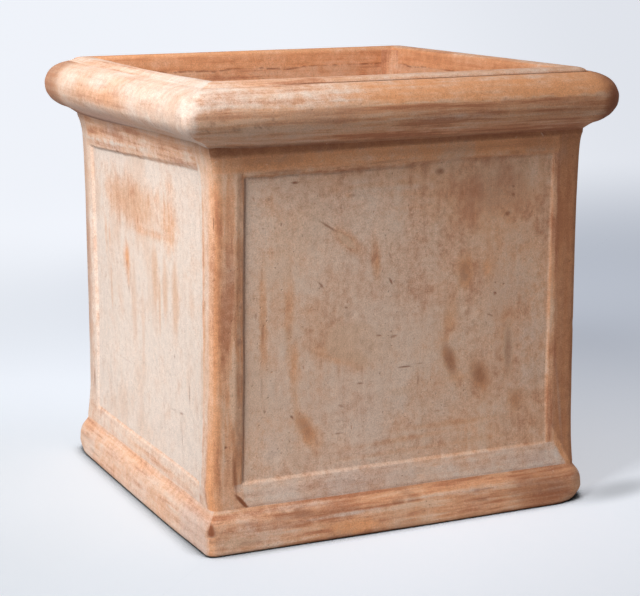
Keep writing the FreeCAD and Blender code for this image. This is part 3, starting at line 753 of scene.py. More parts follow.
def clay_material():
    """Fired clay under a worn limewash, brushed along each member, with grain, pits and scratches."""
    finish = bpy.context.scene.planter_finish
    material = bpy.data.materials.new("limewashed_clay")
    material.use_nodes = True
    t = Nodes(material.node_tree)
    place = t.put("TexCoord", out="Object")
    lay = t.paint("lay", "Vector")
    brush, blotch, painted_wash = t.paint("brush"), t.paint("blotch"), t.paint("wash")
    down = t.noise(t.vectors("MULTIPLY", place, (1, 1, 0.09)), 125, 5, 0.64)
    along = t.noise(t.vectors("MULTIPLY", lay, (0.06, 1, 1)), 150, 5, 0.64)
    strokes = t.choose(t.paint("upright"), along, down)
    brushed = t.product(strokes, brush)
    broad = t.noise(place, 9, 2)
    patchy = t.noise(place, 30, 6, 0.62)
    fine = t.noise(place, 130, 5, 0.66)
    grain = t.noise(place, 760, 2, 0.75)

    # how much limewash stays: painted amount, broken up by the brush and by wear
    blotches = t.product(t.fused(t.product(patchy, 0.75), (fine, 0.75)), blotch)
    wash = t.fused(painted_wash, (brushed, 1.30), (blotches, 1.0), (grain, 0.5))
    wash = t.ramp(wash, -0.14, 1.0)

    # the clay below it
    dotted = t.product(patchy, blotch)
    streaky = t.choose(brush, fine, strokes)
    tone = t.fused(brushed, (broad, 0.9), (streaky, 0.6), (dotted, 0.4))
    base = t.blend(t.ramp(tone, -0.20, 0.04), finish.clay_dark, finish.clay)
    base = t.blend(t.ramp(tone, 0.02, 0.24), base, finish.clay_pale)
    glow = t.ramp(t.fused(t.paint("glow"), (streaky, 0.9), (dotted, 0.5)), 0.10, 0.66)
    base = t.blend(glow, base, finish.glow)
    straw = t.ramp(t.fused(t.paint("straw"), (patchy, 0.9), (fine, 0.5)), 0.08, 0.85)
    base = t.blend(straw, base, finish.straw)

    # the limewash's own colours
    thick = t.ramp(t.fused(t.product(painted_wash, 0.5), (patchy, 0.8), (fine, 0.4)), 0.04, 0.58)
    lime = t.blend(thick, finish.wash_thin, finish.wash)
    drift = t.noise(t.vectors("MULTIPLY", place, (1.0, 1.0, 0.5)), 17, 3)
    lime = t.blend(t.product(t.ramp(drift, -0.02, 0.18), 0.35), lime, finish.straw)
    lime = t.blend(t.product(straw, 0.62), lime, finish.straw)
    chalk = t.ramp(t.fused(t.paint("chalk"), (patchy, 0.8), (fine, 0.5)), 0.06, 0.9)
    lime = t.blend(t.product(chalk, 0.8), lime, finish.chalk)
    colour = t.blend(t.product(wash, 0.94), base, lime)
    # The rust-coloured marks, which also carry painted shade under the roll, in hollows and crevices and on
    # the front's shaded right side
    rust = t.ramp(t.fused(t.paint("rust"), (fine, 0.5)), 0.12, 0.78)
    colour = t.blend(rust, colour, finish.rust)

    def scratches(cell, length, width, shift, few):
        """Short straight marks that lie every way, at most one to a cell."""
        moved = t.vectors("ADD", place, shift)
        cells = t.put("TexVoronoi", {"Vector": moved, "Scale": 1 / (cell * MM)}, None)
        away = t.vectors("SUBTRACT", moved, cells["Position"])
        aimed = t.put("VectorRotate", {"Vector": away, "Rotation": t.times(cells["Color"], 2 * math.pi)},
                      rotation_type="EULER_XYZ")
        size = (1 / (length * MM), 1 / (width * MM), 1 / (width * MM))
        far = t.reach(t.vectors("MULTIPLY", aimed, size))
        chosen = t.put("SeparateColor", {0: cells["Color"]}, 1)
        kept = t.ramp(t.fused(chosen, (patchy, 1.6)), few, few + 0.12)
        return t.product(t.ramp(far, 1.0, 0.5), kept)

    # pits, scratches and scrapes
    pits = t.put("TexVoronoi", {"Vector": place, "Scale": 300.0}, None)
    chosen = t.put("SeparateColor", {0: pits["Color"]})
    few = t.ramp(t.fused(chosen, (drift, 0.9)), 0.90, 1.02)
    pit = t.product(few, t.ramp(pits["Distance"], 0.36, 0.10))
    nicks = scratches(10, 2.6, 0.8, (0.3, 0.1, 0.2), 0.72)
    scores = scratches(27, 9.0, 1.0, (0.7, 0.5, 0.9), 0.66)
    flecks = scratches(13, 4.5, 0.9, (0.2, 0.8, 0.4), 0.62)
    for cover, share, shown in ((t.product(pit, t.ramp(patchy, 0.0, 0.14)), 0.55, finish.rust),
                                (nicks, 0.5, finish.clay_dark), (scores, 0.45, finish.clay_dark),
                                (flecks, 0.40, finish.wash_thin)):
        colour = t.blend(t.product(cover, share), colour, shown)
    shade = t.put("MapRange", {"Value": t.fused(t.product(grain, 0.75), (fine, 0.4)), "From Min": -0.18,
                               "From Max": 0.18, "To Min": 0.78, "To Max": 1.17})
    grey = t.put("CombineColor", {0: shade, 1: shade, 2: shade})
    colour = t.blend(1.0, colour, grey, "MULTIPLY")

    rough = t.put("MapRange", {"Value": wash, "To Min": 0.78, "To Max": 0.94})
    relief = t.fused(t.product(grain, 0.45), (fine, 0.9), (brushed, 1.1), (wash, 0.30), (pit, -1.1),
                     (rust, -0.8), (nicks, -0.9), (scores, -0.8), (patchy, 1.4))
    bump = t.put("Bump", {"Height": relief, "Distance": finish.grain, "Strength": 0.9})
    t.end("ShaderNodeOutputMaterial", "Surface",
          t.put("BsdfPrincipled", {"Base Color": colour, "Roughness": rough, "Normal": bump,
                                   "Specular IOR Level": 0.28}))
    return material


# Members

def shared(kind, name, make):
    """Something made once and used by every member."""
    return kind.get(name) or make()


def make_member(node, quarters, points, faces, marks, lay):
    """Works a member by hand and gives it to the frame in its node's place."""
    scene = bpy.context.scene
    shape, name = scene.planter_shape, f"clay_{node}"
    tree = shared(bpy.data.node_groups, "worked_clay", worked_clay_tree)
    mesh = clay_mesh(name, points, faces, marks, lay)
    member = bpy.data.objects.new(name, mesh)
    scene.collection.objects.link(member)
    work = member.modifiers.new("worked clay", "NODES")
    work.node_group = tree
    wanted = {"Quarter turns": float(quarters), "Sway": shape.sway, "Ripple": shape.ripple,
              "Dent depth": shape.dent_depth, "Dent size": shape.dent_size,
              "Dent spacing": shape.dent_spacing, "Floor level": WORKED_FROM,
              "Seed": float(scene.planter_stage.seed),
              "Clay": shared(bpy.data.materials, "limewashed_clay", clay_material)}
    for socket in tree.interface.items_tree:
        if socket.in_out == "INPUT" and socket.name in wanted:
            work[socket.identifier] = wanted[socket.name]
    bpy.context.view_layer.update()
    graph = bpy.context.evaluated_depsgraph_get()
    plain = bpy.data.meshes.new_from_object(member.evaluated_get(graph), preserve_all_data_layers=True,
                                            depsgraph=graph)
    member.modifiers.clear()
    member.data = plain
    plain.name = name
    bpy.data.meshes.remove(mesh)
    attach(member, "root")
    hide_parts(node)


def lay_of(across, offset, height, side):
    """Coordinates that follow a member: along it, out from it, up. Each side has its own stretch."""
    return np.stack([across + SIDE_APART * SIDES.index(side), offset, height], -1)


# Heights, and how far the near arris leans and the far left one is tucked in there, in millimetres
NEAR_LEAN = ((0, 40, 65, 170, 370, 400, 440), (2, 0, -4.3, 0, 4.6, 4.0, 0))
FAR_TUCK = ((45, 80, 250, 390, 425), (0, 2.2, 3.2, 4.4, 0))


def lean_wall(points, quarters):
    """The front left arris leans: right of true at the rim, left of it at the foot."""
    world = turned(points, quarters)
    lean, tuck = (np.interp(world[..., 2], *np.array(table) * MM) for table in (NEAR_LEAN, FAR_TUCK))
    from_near = np.hypot(world[..., 0] + WALL_OUT, world[..., 1] + WALL_OUT)
    from_far = np.hypot(world[..., 0] + WALL_OUT, world[..., 1] - WALL_OUT)
    world[..., 0] += lean * bell(from_near, 0, 55 * MM) + tuck * bell(from_far, 0, 40 * MM)
    points[...] = turned(world, (4 - quarters) % 4)


def make_wall(side):
    """A wall with its sunk panel, its flare below the roll and above the foot, and a plain inside."""
    shape = bpy.context.scene.planter_shape
    quarters = SIDES.index(side)
    half = WALL_OUT - ARRIS_RADIUS
    panel_sides = (-shape.panel_width, shape.panel_width)
    share, angle = round_corners(paced(-half, half, shape.face_step, FINE_STEP, panel_sides, 6 * MM) / half)
    head, foot = (0.5 * (PANEL_EDGES[side][i] + PANEL_EDGES[side][i + 1]) * MM for i in (0, 2))
    outer = np.concatenate([
        np.arange(WALL_FOOT, FOOT_TOP - 8 * MM, 5 * MM),
        paced(FOOT_TOP - 7 * MM, RIM_LOW + 10 * MM, shape.face_step, HEAD_STEP, (foot, head), 11 * MM),
        np.arange(RIM_LOW + 14 * MM, WALL_TOP, 7 * MM), [WALL_TOP]])
    inner = np.concatenate([
        [WALL_TOP], np.arange(WALL_TOP - 1.5 * MM, WALL_TOP - 30 * MM, -1.5 * MM),
        np.arange(WALL_TOP - 34 * MM, WALL_FOOT + 6 * MM, -9 * MM), [WALL_FOOT]])
    height = np.concatenate([outer, inner])
    outside = np.arange(len(height)) < len(outer)
    below_rim, above_foot = np.clip(RIM_LOW - height, 0, 1), np.clip(height - FOOT_TOP, 0, 1)
    flare = (3.0 * np.exp(-below_rim / (45 * MM)) + 1.4 * np.exp(-below_rim / (5 * MM))
             + 2.0 * np.exp(-above_foot / (25 * MM)) - 0.6) * MM
    flare = np.where((height > RIM_LOW + 12 * MM) | (height < FOOT_TOP - 6 * MM), 0.0, flare)
    offset = np.where(outside, WALL_OUT + flare, WALL_IN)
    radius = np.where(outside, ARRIS_RADIUS, 0.8 * MM)
    points = swept(*(np.tile(v, (len(share), 1)) for v in (offset, height, radius)), share, angle)
    across, up = -points[..., 0], points[..., 2].copy()
    flat = turned(points, quarters).reshape(-1, 3)
    seen = np.broadcast_to(outside, across.shape)
    sunk, bevel, distances = panel_relief(shape, side, across, up, flat)
    sunk, bevel = sunk * seen, bevel * seen
    inward = shape.panel_depth * (0.72 * sunk + 0.28 * bevel) * np.clip(np.cos(2 * angle), 0, 1)[:, None]
    if side == "front":
        inward = inward * (1 - 0.42 * step(0.04, 0.17, across)) * (1 - 0.30 * step(0.13, 0.07, up))
    if side == "left":
        inward = inward * (1 - 0.42 * step(0.19, 0.08, up))
    points[..., 1] -= inward
    marks = paint_wall(shape, side, across.ravel(), up.ravel(), sunk.ravel(),
                       [d.ravel() for d in distances], seen.ravel(), flat)
    lean_wall(points, quarters)
    make_member(f"wall_{side}", quarters, points, ring_faces(len(share), len(height)), marks,
                lay_of(across, points[..., 1], up, side))


def make_trim(kind, side, seen, hidden, radius_of, marker, reshape):
    """A lip, rim or foot member: its section swept between the two mitres."""
    shape = bpy.context.scene.planter_shape
    quarters = SIDES.index(side)
    section = np.vstack([curve_through(seen, shape.edge_step), np.array(hidden, float) * MM])
    share, angle = stations(WALL_OUT - ARRIS_RADIUS, shape.edge_step)
    offset, height = repeated(section, share)
    near = by_side(side, step(0.35, 1.0, share), step(-0.35, -1.0, share), np.zeros(share.shape))
    radius = radius_of(offset, height, near[:, None])
    across = -swept(offset, height, radius, share, angle)[..., 0]
    offset, height = reshape(side, across, offset, height)
    points = swept(offset, height, radius, share, angle)
    flat = turned(points, quarters).reshape(-1, 3)
    marks = marker(side, across.ravel(), offset.ravel(), height.ravel(), flat)
    lean_wall(points, quarters)
    make_member(f"{kind}_{side}", quarters, points, ring_faces(len(share), len(section)), marks,
                lay_of(across, offset, height, side))


# Sections as (offset from the middle, height) in millimetres: the line that shows, then the back
RIM_LINE = (
    (212.2, 411.0), (214.0, 409.3), (216.0, 409.2), (218.2, 410.8), (221.6, 413.5), (226.2, 416.8),
    (233.5, 420.0), (239.8, 424.6), (243.6, 428.8), (247.6, 436.0), (248.8, 444.0), (248.2, 450.0),
    (244.8, 458.3), (239.4, 464.4), (232.0, 468.6), (226.0, 470.5), (222.6, 471.2), (220.9, 470.3),
    (220.3, 467.5),
)
RIM_BACK = ((220, 462), (220, 455), (212.2, 455), (212.2, 430))
LIP_LINE = (
    (194.5, 458.0), (194.6, 466.0), (194.8, 471.0), (195.9, 474.0), (199.0, 475.5), (206.0, 475.8),
    (212.0, 475.6), (216.4, 474.5), (218.8, 472.2), (219.3, 470.2), (218.8, 468.4), (219.6, 466.0),
)
LIP_BACK = ((220, 462), (220, 455), (207, 455), (194.5, 455))
# Offsets and heights of the lip's top where it is smeared over the roll
SMEARED = ((205, 212, 219, 225), (475.6, 474.4, 472.0, 469.6))
FOOT_LINE = (
    (212.6, 47.5), (214.2, 45.6), (215.2, 43.0), (217.2, 39.8), (220.2, 36.6), (223.0, 33.2),
    (225.0, 29.2), (226.0, 24.6), (226.2, 17.0), (226.4, 9.0), (226.6, 3.4), (225.8, 1.1),
    (223.0, 0.4), (219.0, 0.3),
)
FOOT_BACK = ((212.4, 0.3), (212.4, 14), (212.4, 30))
# How far each foot spreads outward at its base, and how far its crest sinks, in millimetres at
# the side's left end, middle and right end
FOOT_SPREAD = {"front": (1.0, 4.0, 4.0), "left": (1.5, 2.0, 1.0),
               "right": (4.0, 1.0, 1.0), "back": (1.0, 1.0, 1.5)}
FOOT_SINK = {"front": (0.0, 2.0, 3.5), "left": (3.5, 2.0, 0.0),
             "right": (3.5, 2.0, 2.0), "back": (2.0, 2.0, 3.5)}


def along_foot(amounts, across):
    """A foot's amount at a place, from those at its left end, middle and right end."""
    return np.interp(across, (-0.21, 0.0, 0.21), np.array(amounts) * MM)


def foot_drop(side, across):
    """How far the foot's crest lies below its true height, as a negative length."""
    return -along_foot(FOOT_SINK[side], across)


def foot_level(side, across, offset, height):
    """The foot's base spreads along its sides, its crest sinks, and its far corners curl under."""
    base = 1 - step(2 * MM, 30 * MM, height)
    seen = step(213 * MM, 219 * MM, offset)
    far = step(0.175, 0.226, by_side(side, across, -across, np.abs(across)))
    curl = far * np.clip(1 - height / (15 * MM), 0, 1) ** 1.6 * 6.5 * MM
    return (offset + (along_foot(FOOT_SPREAD[side], across) * base * (1 - far) - curl) * seen,
            height + foot_drop(side, across) * step(4 * MM, 34 * MM, height))


def roll_rise(side, across, offset, height):
    """The roll's underside sits higher by the near corner."""
    rise = by_side(side, 3.0 * step(-0.165, -0.215, across),
                   5.2 * step(-0.15, 0.12, across) - 2.2 * step(0.185, 0.215, across), 0.0)
    return offset, height + rise * MM * (1 - step(413 * MM, 436 * MM, height))


def lip_smear(side, across):
    """Where the lip was smeared into the roll, so that its foot shows no crevice."""
    return by_side(side, step(-0.110, -0.180, across), 0.8 + 0.2 * step(-0.14, -0.05, across),
                   np.full(across.shape, 0.15))


def smear_lip(side, across, offset, height):
    """Lays the lip's outer foot down over the roll where it was smeared, and lets its edge wander."""
    smear = lip_smear(side, across)
    outer = step(205 * MM, 219 * MM, offset) * step(463 * MM, 468 * MM, height)
    out = offset + 5.5 * MM * smear * outer * step(214 * MM, 219 * MM, offset)
    wanted = np.interp(out, *np.array(SMEARED) * MM)
    inner = (1 - step(198 * MM, 207 * MM, offset)) * step(464 * MM, 470 * MM, height)
    sag = by_side(side, 0.0, 2.4 * bell(across, 0.02, 0.11), 0.0) * MM * inner
    return out + sag, mix(height, wanted, smear * outer) - 0.8 * sag


def rim_marks(side, across, offset, height, points):
    """Wear and painted shade on the roll: pale on top, red to tan on its face, painted shade in the hollow,
    painted shade and dirt in the crevice by the lip, and painted shade at the front roll's right end.
    """
    top, face, under = TRIM_WASH[side][1:4]
    worn, broad, torn = wear_noise(points, (0.22, 0.22, 1), (20, 90, 12), (21, 22, 23))
    marks = WearAndShade(across.shape, 0)
    edge = 452 * MM + 5 * MM * torn + 4 * MM * broad
    high = step(edge - 3 * MM, edge + 5 * MM, height)
    low = 1 - step(422 * MM, 434 * MM, height)
    hollow = 1 - step(411 * MM, 418 * MM, height)
    marks["wash"] = mix(mix(face, top, high), under, low) + 0.14 * worn + 0.14 * broad
    marks["glow"] = 0.25 * step(0.0, 0.5, -broad)
    if side == "front":
        east = step(-0.14, 0.02, across)
        marks.blend("wash", 0.56 - 0.42 * east + 0.18 * torn + 0.2 * worn, high)
        marks.blend("wash", 0.14 - 0.26 * east + 0.26 * worn + 0.16 * broad, 1 - high)
        marks.most("glow", high * (0.40 + 0.50 * east))
        marks["straw"] = (1 - high) * (0.40 - 0.36 * east)
        marks["chalk"] = (1 - high) * (0.2 - 0.2 * east)
        pale_line = (bell(height, 434 * MM, 4 * MM) * bell(across, 0.045, 0.05, 4)
                     + 0.6 * bell(height, 428 * MM, 1.5 * MM) * bell(across, -0.16, 0.05, 4))
        marks.most("wash", 0.42 * pale_line * (1 + 0.5 * worn))
        marks["rust"] = (1 - high) * (0.14 + 0.17 * step(424 * MM, 438 * MM, height)
                                      + 0.08 * step(0.02, 0.2, across) + 0.12 * worn)
        # Painted shade at the front roll's right end, where the light falls off: rust-coloured clay and less
        # wash.
        marks.most("rust", 0.82 * step(0.195, 0.24, across) * (1 - 0.25 * high))
        marks["wash"] -= 0.3 * step(0.19, 0.235, across)
        pale_end = 0.8 * step(-0.230, -0.240, across)
        pitted = step(0.1, 0.45, noise(points, 4.5 * MM, 25, 2)) * step(-0.10, -0.16, across) * (1 - high)
        marks.most("rust", 0.42 * pitted * step(424 * MM, 432 * MM, height))
        marks.blend("wash", 0.85 + 0.3 * torn, 0.6 * high * step(-0.12, -0.21, across))
        hollow = hollow * mix(0.6, 0.45, step(-0.12, 0.0, across))
    elif side == "left":
        pale_end = 0.8 * step(0.14, 0.20, across)
        rubbed = np.exp(-(((height - 445 * MM) / (10 * MM)) ** 2 + ((across + 0.02) / 0.085) ** 2) ** 1.5)
        marks["wash"] *= 1 - 0.55 * rubbed
        marks.most("glow", 0.40 * rubbed * (1 + 0.6 * worn))
        marks["straw"] = 0.5 * low
        end = step(-0.14, -0.20, across)
        marks["wash"] -= 0.36 * end
        marks["rust"] = 0.46 * end
        marks.most("glow", 0.25 * end)
        marks["chalk"] = 0.8 * low * step(0.05, 0.0, across)
        hollow = hollow * 0.55
    else:
        # Where the right roll meets the front roll's right end, its rust carries that painted shade round the
        # corner.
        joined, strong = {"back": (step(0.15, 0.235, across), 0.34),
                          "right": (step(-0.15, -0.235, across), 0.62)}[side]
        pale_end = 0.3 * step(0.195, 0.230, np.abs(across)) * (1 - joined)
        marks["wash"] -= 0.1 * joined
        marks["rust"] = 0.16 * (1 - high) + strong * joined
        marks["straw"] = 0.4 * (1 - high)
    marks.blend("wash", 0.80, pale_end * (1 - 0.6 * low))
    marks["rust"] = marks["rust"] * (1 - pale_end)
    marks["straw"] = marks["straw"] * (1 - pale_end)
    # Painted shade in the hollow under the roll, where it meets the wall.
    marks.most("rust", 0.95 * hollow)
    # Painted shade and dirt in the crevice at the lip's outer foot, except where the lip is smeared over.
    crevice_shade_and_dirt = step(471.6 * MM, 469.0 * MM, height) * (offset < 221.5 * MM) * (height > 450 * MM)
    marks.most("rust", 0.9 * crevice_shade_and_dirt * (1 - lip_smear(side, across)))
    marks["brush"] = by_side(side, 1.25, 0.6, 1.0) * (1 - 0.6 * pale_end)
    marks["blotch"] *= by_side(side, 1.15, 0.6, 1.0)
    return marks


def lip_marks(side, across, offset, height, points):
    """Wear on the lip: worn wash on top, painted shade and dirt in the crevice at its outer foot, raw clay
    inside.
    """
    worn, broad, torn = wear_noise(points, (0.35, 0.35, 1), (20, 70, 9), (41, 42, 14))
    marks = WearAndShade(across.shape, 0)
    marks["wash"] = TRIM_WASH[side][0] + 0.2 * worn + 0.2 * broad
    if side == "left":
        marks.blend("wash", 0.95, 0.8 * step(0.0, 0.12, across))
    marks["glow"] = by_side(side, 0.45, 0.25, 0.45) + 0.25 * broad
    # Painted shade and dirt in the crevice at the lip's outer foot.
    crevice_shade_and_dirt = step(472.2 * MM, 469.6 * MM, height) * (offset > 216 * MM)
    marks["rust"] = 0.95 * crevice_shade_and_dirt * (1 - lip_smear(side, across))
    inside = (offset < 197 * MM) & (height < 474 * MM)
    crack = seam_crack(points, height, torn)[1]
    for mark, amount in {"rust": 0.60 * crack, "wash": 0.10 + 0.15 * broad, "glow": 0.55}.items():
        marks[mark] = np.where(inside, amount, marks[mark])
    return marks


# Marks on the front's foot, as (across, height, half width, half height, kind, strength)
FOOT_MARKS = (
    (-75, 25.0, 62, 1.5, "wash", 0.9), (-62, 11, 27, 8, "glow", 1.0), (-140, 38, 60, 3.0, "wash", 0.55),
    (165, 20, 60, 26, "rust", 0.50), (60, 12, 60, 8, "chalk", 0.7), (-150, 16, 60, 9, "rust", 0.22),
    (60, 29, 70, 2.0, "wash", 0.6), (-190, 12, 24, 6, "straw", 0.8), (-62, 11, 27, 8, "bare", 0.9),
)


def foot_marks(side, across, offset, height, points):
    """Wear on the foot moulding: worn crest, streaks along it, a rubbed, chipped near corner, and partly
    painted shade in the hollow under the crest.
    """
    top, face = TRIM_WASH[side][4:]
    worn, broad, torn = wear_noise(points, (0.2, 0.2, 1), (16, 80, 10), (51, 52, 53))
    marks = WearAndShade(across.shape, 0)
    drop = foot_drop(side, across)
    crest, hollow = bell(height - drop, 39 * MM, 4.0 * MM), bell(height - drop, 30 * MM, 2.5 * MM)
    marks["wash"] = mix(face, top, crest) + 0.16 * worn + 0.14 * broad
    marks["glow"] = 0.20 * crest + 0.2 * step(0, 0.5, broad)
    marks["brush"] *= by_side(side, 0.95, 0.7, 0.95)
    marks["blotch"] *= by_side(side, 1.2, 0.7, 1.2)
    marks["rust"] = 0.5 * (1 - step(0, 3 * MM, height))
    marks["rust"] += by_side(side, 0.26, 0.05, 0.14) * step(-0.2, 0.5, worn)
    # Partly painted shade, partly redder clay: darker in the hollow under the crest, more on the front than
    # on the left.
    marks["rust"] += by_side(side, 0.22, 0.05, 0.22) * hollow * step(-0.6, 0.2, torn)
    marks["straw"] = 0.3 * (1 - crest) * step(0, 0.4, -broad)
    streaks = noise(points * (0.08, 0.08, 1), 3.6 * MM, 55, 2)
    marks["rust"] += 0.24 * step(0.15, 0.55, streaks) * step(-0.5, 0.3, torn)
    marks["wash"] += 0.28 * step(0.15, 0.55, -streaks) * step(-0.3, 0.3, broad)
    if side == "front":
        marks["rust"] += 0.09 * step(-0.12, -0.02, across) + 0.06 * crest
        marks["wash"] += 0.24 * step(-0.08, -0.16, across)
        for x, z, wide, high, kind, much in FOOT_MARKS:
            far = ((across / MM - x) / wide) ** 2 + ((height / MM - z) / high) ** 2
            marks.cover(kind, much * np.exp(-(far * np.clip(1 + 0.7 * torn, 0.3, 2)) ** 1.4))
    if side == "left":
        near = step(0.13, 0.16, across)
        marks["chalk"] += 0.32
        marks["rust"] += 0.17 * step(-0.02, -0.2, across)
        marks.blend("wash", 0.75 + 0.2 * torn, near * step(38 * MM, 30 * MM, height))
        marks.most("chalk", 0.7 * near)
        marks.most("rust", 0.26 * bell(across, 0.11, 0.022, 4) * bell(height, 11 * MM, 5 * MM))
    if side in ("front", "left"):
        corner = bell(across, -0.224, 0.007) if side == "front" else bell(across, 0.226, 0.005)
        marks["wash"] *= 1 - 0.8 * corner
        marks.most("glow", 0.9 * corner)
        chip = np.clip(1.3 * corner, 0, 1) * bell(height, 28 * MM, 7 * MM, 4)
        marks["wash"] *= 1 - chip
        marks["glow"] *= 1 - chip
        marks.most("straw", chip)
        marks.most("rust", 0.85 * chip)
    return marks


def make_rim(side):
    def radius(offset, height, near):
        out = np.clip((offset - WALL_OUT) / (RIM_OUT - WALL_OUT), 0, 1)
        tight = mix(0.42, 0.75, step(440 * MM, 462 * MM, height))
        return mix(9, 27, out) * MM * mix(1.0, tight, near)
    make_trim("rim", side, RIM_LINE, RIM_BACK, radius, rim_marks, roll_rise)


def make_lip(side):
    def radius(offset, height, near):
        return mix(2, 12, np.clip((offset - WALL_IN) / (LIP_OUT - WALL_IN), 0, 1)) * MM
    make_trim("lip", side, LIP_LINE, LIP_BACK, radius, lip_marks, smear_lip)


def make_foot(side):
    def radius(offset, height, near):
        out = np.clip((offset - WALL_OUT) / (FOOT_OUT - WALL_OUT), 0, 1)
        return mix(9, mix(26, 10, near), out) * MM
    make_trim("foot", side, FOOT_LINE, FOOT_BACK, radius, foot_marks, foot_level)


def raw_marks(points, seed, wash=0.12):
    """Wear on the members inside, which are hardly washed."""
    points = points.reshape(-1, 3)
    broad, worn = noise(points, 60 * MM, seed, 2), noise(points, 18 * MM, seed + 3, 3)
    marks = WearAndShade(len(points), 1)
    marks["wash"] = wash + 0.15 * broad + 0.15 * worn
    marks["glow"] = 0.3 + 0.25 * broad
    marks["straw"] = 0.2 + 0.25 * worn
    return marks


def make_floor_coil(side):
    """The coil pressed along a wall's inside foot."""
    quarters = SIDES.index(side)
    leg, low, out = COIL_LEG / MM, SLAB_TOP / MM, WALL_IN / MM
    seen = ((out - leg, low + 0.1), (out - 0.62 * leg, low + 2.4), (out - 0.33 * leg, low + 0.33 * leg),
            (out - 2.4, low + 0.62 * leg), (out - 0.1, low + leg))
    hidden = ((out + 0.3, low + leg), (out + 0.3, low - 0.3), (out - leg, low - 0.3))
    section = np.vstack([curve_through(seen, 2.5 * MM), np.array(hidden) * MM])
    share, angle = stations(WALL_IN - 1 * MM, 4 * MM)
    offset, height = repeated(section, share)
    points = swept(offset, height, np.full(offset.shape, 0.5 * MM), share, angle)
    make_member(f"floor_coil_{side}", quarters, points, ring_faces(len(share), len(section)),
                raw_marks(turned(points, quarters), 71), lay_of(points[..., 0], offset, height, side))


def make_corner_coil(corner):
    """The upright coil thumbed into an inside corner."""
    quarters = CORNERS.index(corner)
    rows = np.linspace(SLAB_TOP, COIL_TOP - 1 * MM, 180)
    bend = np.linspace(0, 1, 11)
    from_wall, along_wall = WALL_IN + 0.2 * MM, WALL_IN - COIL_LEG
    inner = mix(np.array([along_wall, from_wall]), np.array([from_wall, along_wall]), bend[:, None])
    hollow = (2.6 * MM * np.sin(np.pi * bend))[:, None] * np.array([0.7071, 0.7071])
    line = np.vstack([inner + hollow, [[WALL_IN + 0.4 * MM, WALL_IN + 0.4 * MM]]])
    points = np.empty((len(rows), len(line), 3))
    points[..., :2] = line
    points[..., 2] = rows[:, None]
    thumbed = 0.7 * MM * noise(turned(points, quarters).reshape(-1, 3) * (0.2, 0.2, 1), 22 * MM, 81, 2)
    points[..., :2] += thumbed.reshape(points.shape[:2])[..., None]
    world = turned(points, quarters)
    make_member(f"corner_coil_{corner}", quarters, points, ring_faces(len(rows), len(line)),
                raw_marks(world, 91, 0.16), world)


def make_base():
    """The floor slab, with its round drain hole in the middle."""
    mount = next(m for m in frame["record"]["mounts"] if m["name"] == "drain_hole")
    hole, edge = mount["dims"]["r_mm"] * MM, WALL_OUT - 0.3 * MM
    around = np.linspace(0, 2 * math.pi, 240, endpoint=False)
    circle = np.stack([np.cos(around), np.sin(around)], 1)
    square = circle / np.max(np.abs(circle), axis=1)[:, None]
    top, bottom = SLAB_TOP, 0.0
    # rings from the hole (0) to the slab's edge (1), along the top and back along the bottom
    profile = [(0.0, top - 3 * MM), (0.004, top - 0.8 * MM), (0.012, top)]
    profile += [(t, top) for t in np.linspace(0.03, 0.985, 40)]
    profile += [(1.0, top - 1 * MM), (1.0, 12 * MM), (1.0, 1.2 * MM), (0.994, bottom)]
    profile += [(t, bottom) for t in np.linspace(0.97, 0.03, 24)]
    profile += [(0.008, bottom), (0.002, 1.0 * MM), (0.0, 3 * MM), (0.0, 12 * MM)]
    points = np.array([np.column_stack([mix(circle * hole, square * edge, t), np.full(len(circle), z)])
                       for t, z in profile])
    faces = [face[::-1] for face in ring_faces(*points.shape[:2], closed=True)]
    make_member("base_slab", 0, points, faces, raw_marks(points, 101), points)


# Operators

class PlanterOperator:
    bl_options = {"REGISTER", "UNDO"}


class PLANTER_OT_base(PlanterOperator, bpy.types.Operator):
    """Makes the floor slab with its drain hole"""

    bl_idname = "planter.base"
    bl_label = "Base slab"

    def execute(self, context):
        make_base()
        return {"FINISHED"}


class PLANTER_OT_walls(PlanterOperator, bpy.types.Operator):
    """Makes the four mitred walls with their sunk panels"""

    bl_idname = "planter.walls"
    bl_label = "Walls"

    def execute(self, context):
        for side in SIDES:
            make_wall(side)
        return {"FINISHED"}


class PLANTER_OT_feet(PlanterOperator, bpy.types.Operator):
    """Makes the foot moulding along the four sides"""

    bl_idname = "planter.feet"
    bl_label = "Foot moulding"

    def execute(self, context):
        for side in SIDES:
            make_foot(side)
        return {"FINISHED"}


class PLANTER_OT_rims(PlanterOperator, bpy.types.Operator):
    """Makes the rolled rim along the four sides"""

    bl_idname = "planter.rims"
    bl_label = "Rolled rim"

    def execute(self, context):
        for side in SIDES:
            make_rim(side)
        return {"FINISHED"}


class PLANTER_OT_lips(PlanterOperator, bpy.types.Operator):
    """Makes the lip strips round the mouth"""

    bl_idname = "planter.lips"
    bl_label = "Lip strips"

    def execute(self, context):
        for side in SIDES:
            make_lip(side)
        return {"FINISHED"}


class PLANTER_OT_coils(PlanterOperator, bpy.types.Operator):
    """Makes the coils pressed into the inside corners and along the floor"""

    bl_idname = "planter.coils"
    bl_label = "Pressed coils"

    def execute(self, context):
        for corner in CORNERS:
            make_corner_coil(corner)
        for side in SIDES:
            make_floor_coil(side)
        return {"FINISHED"}


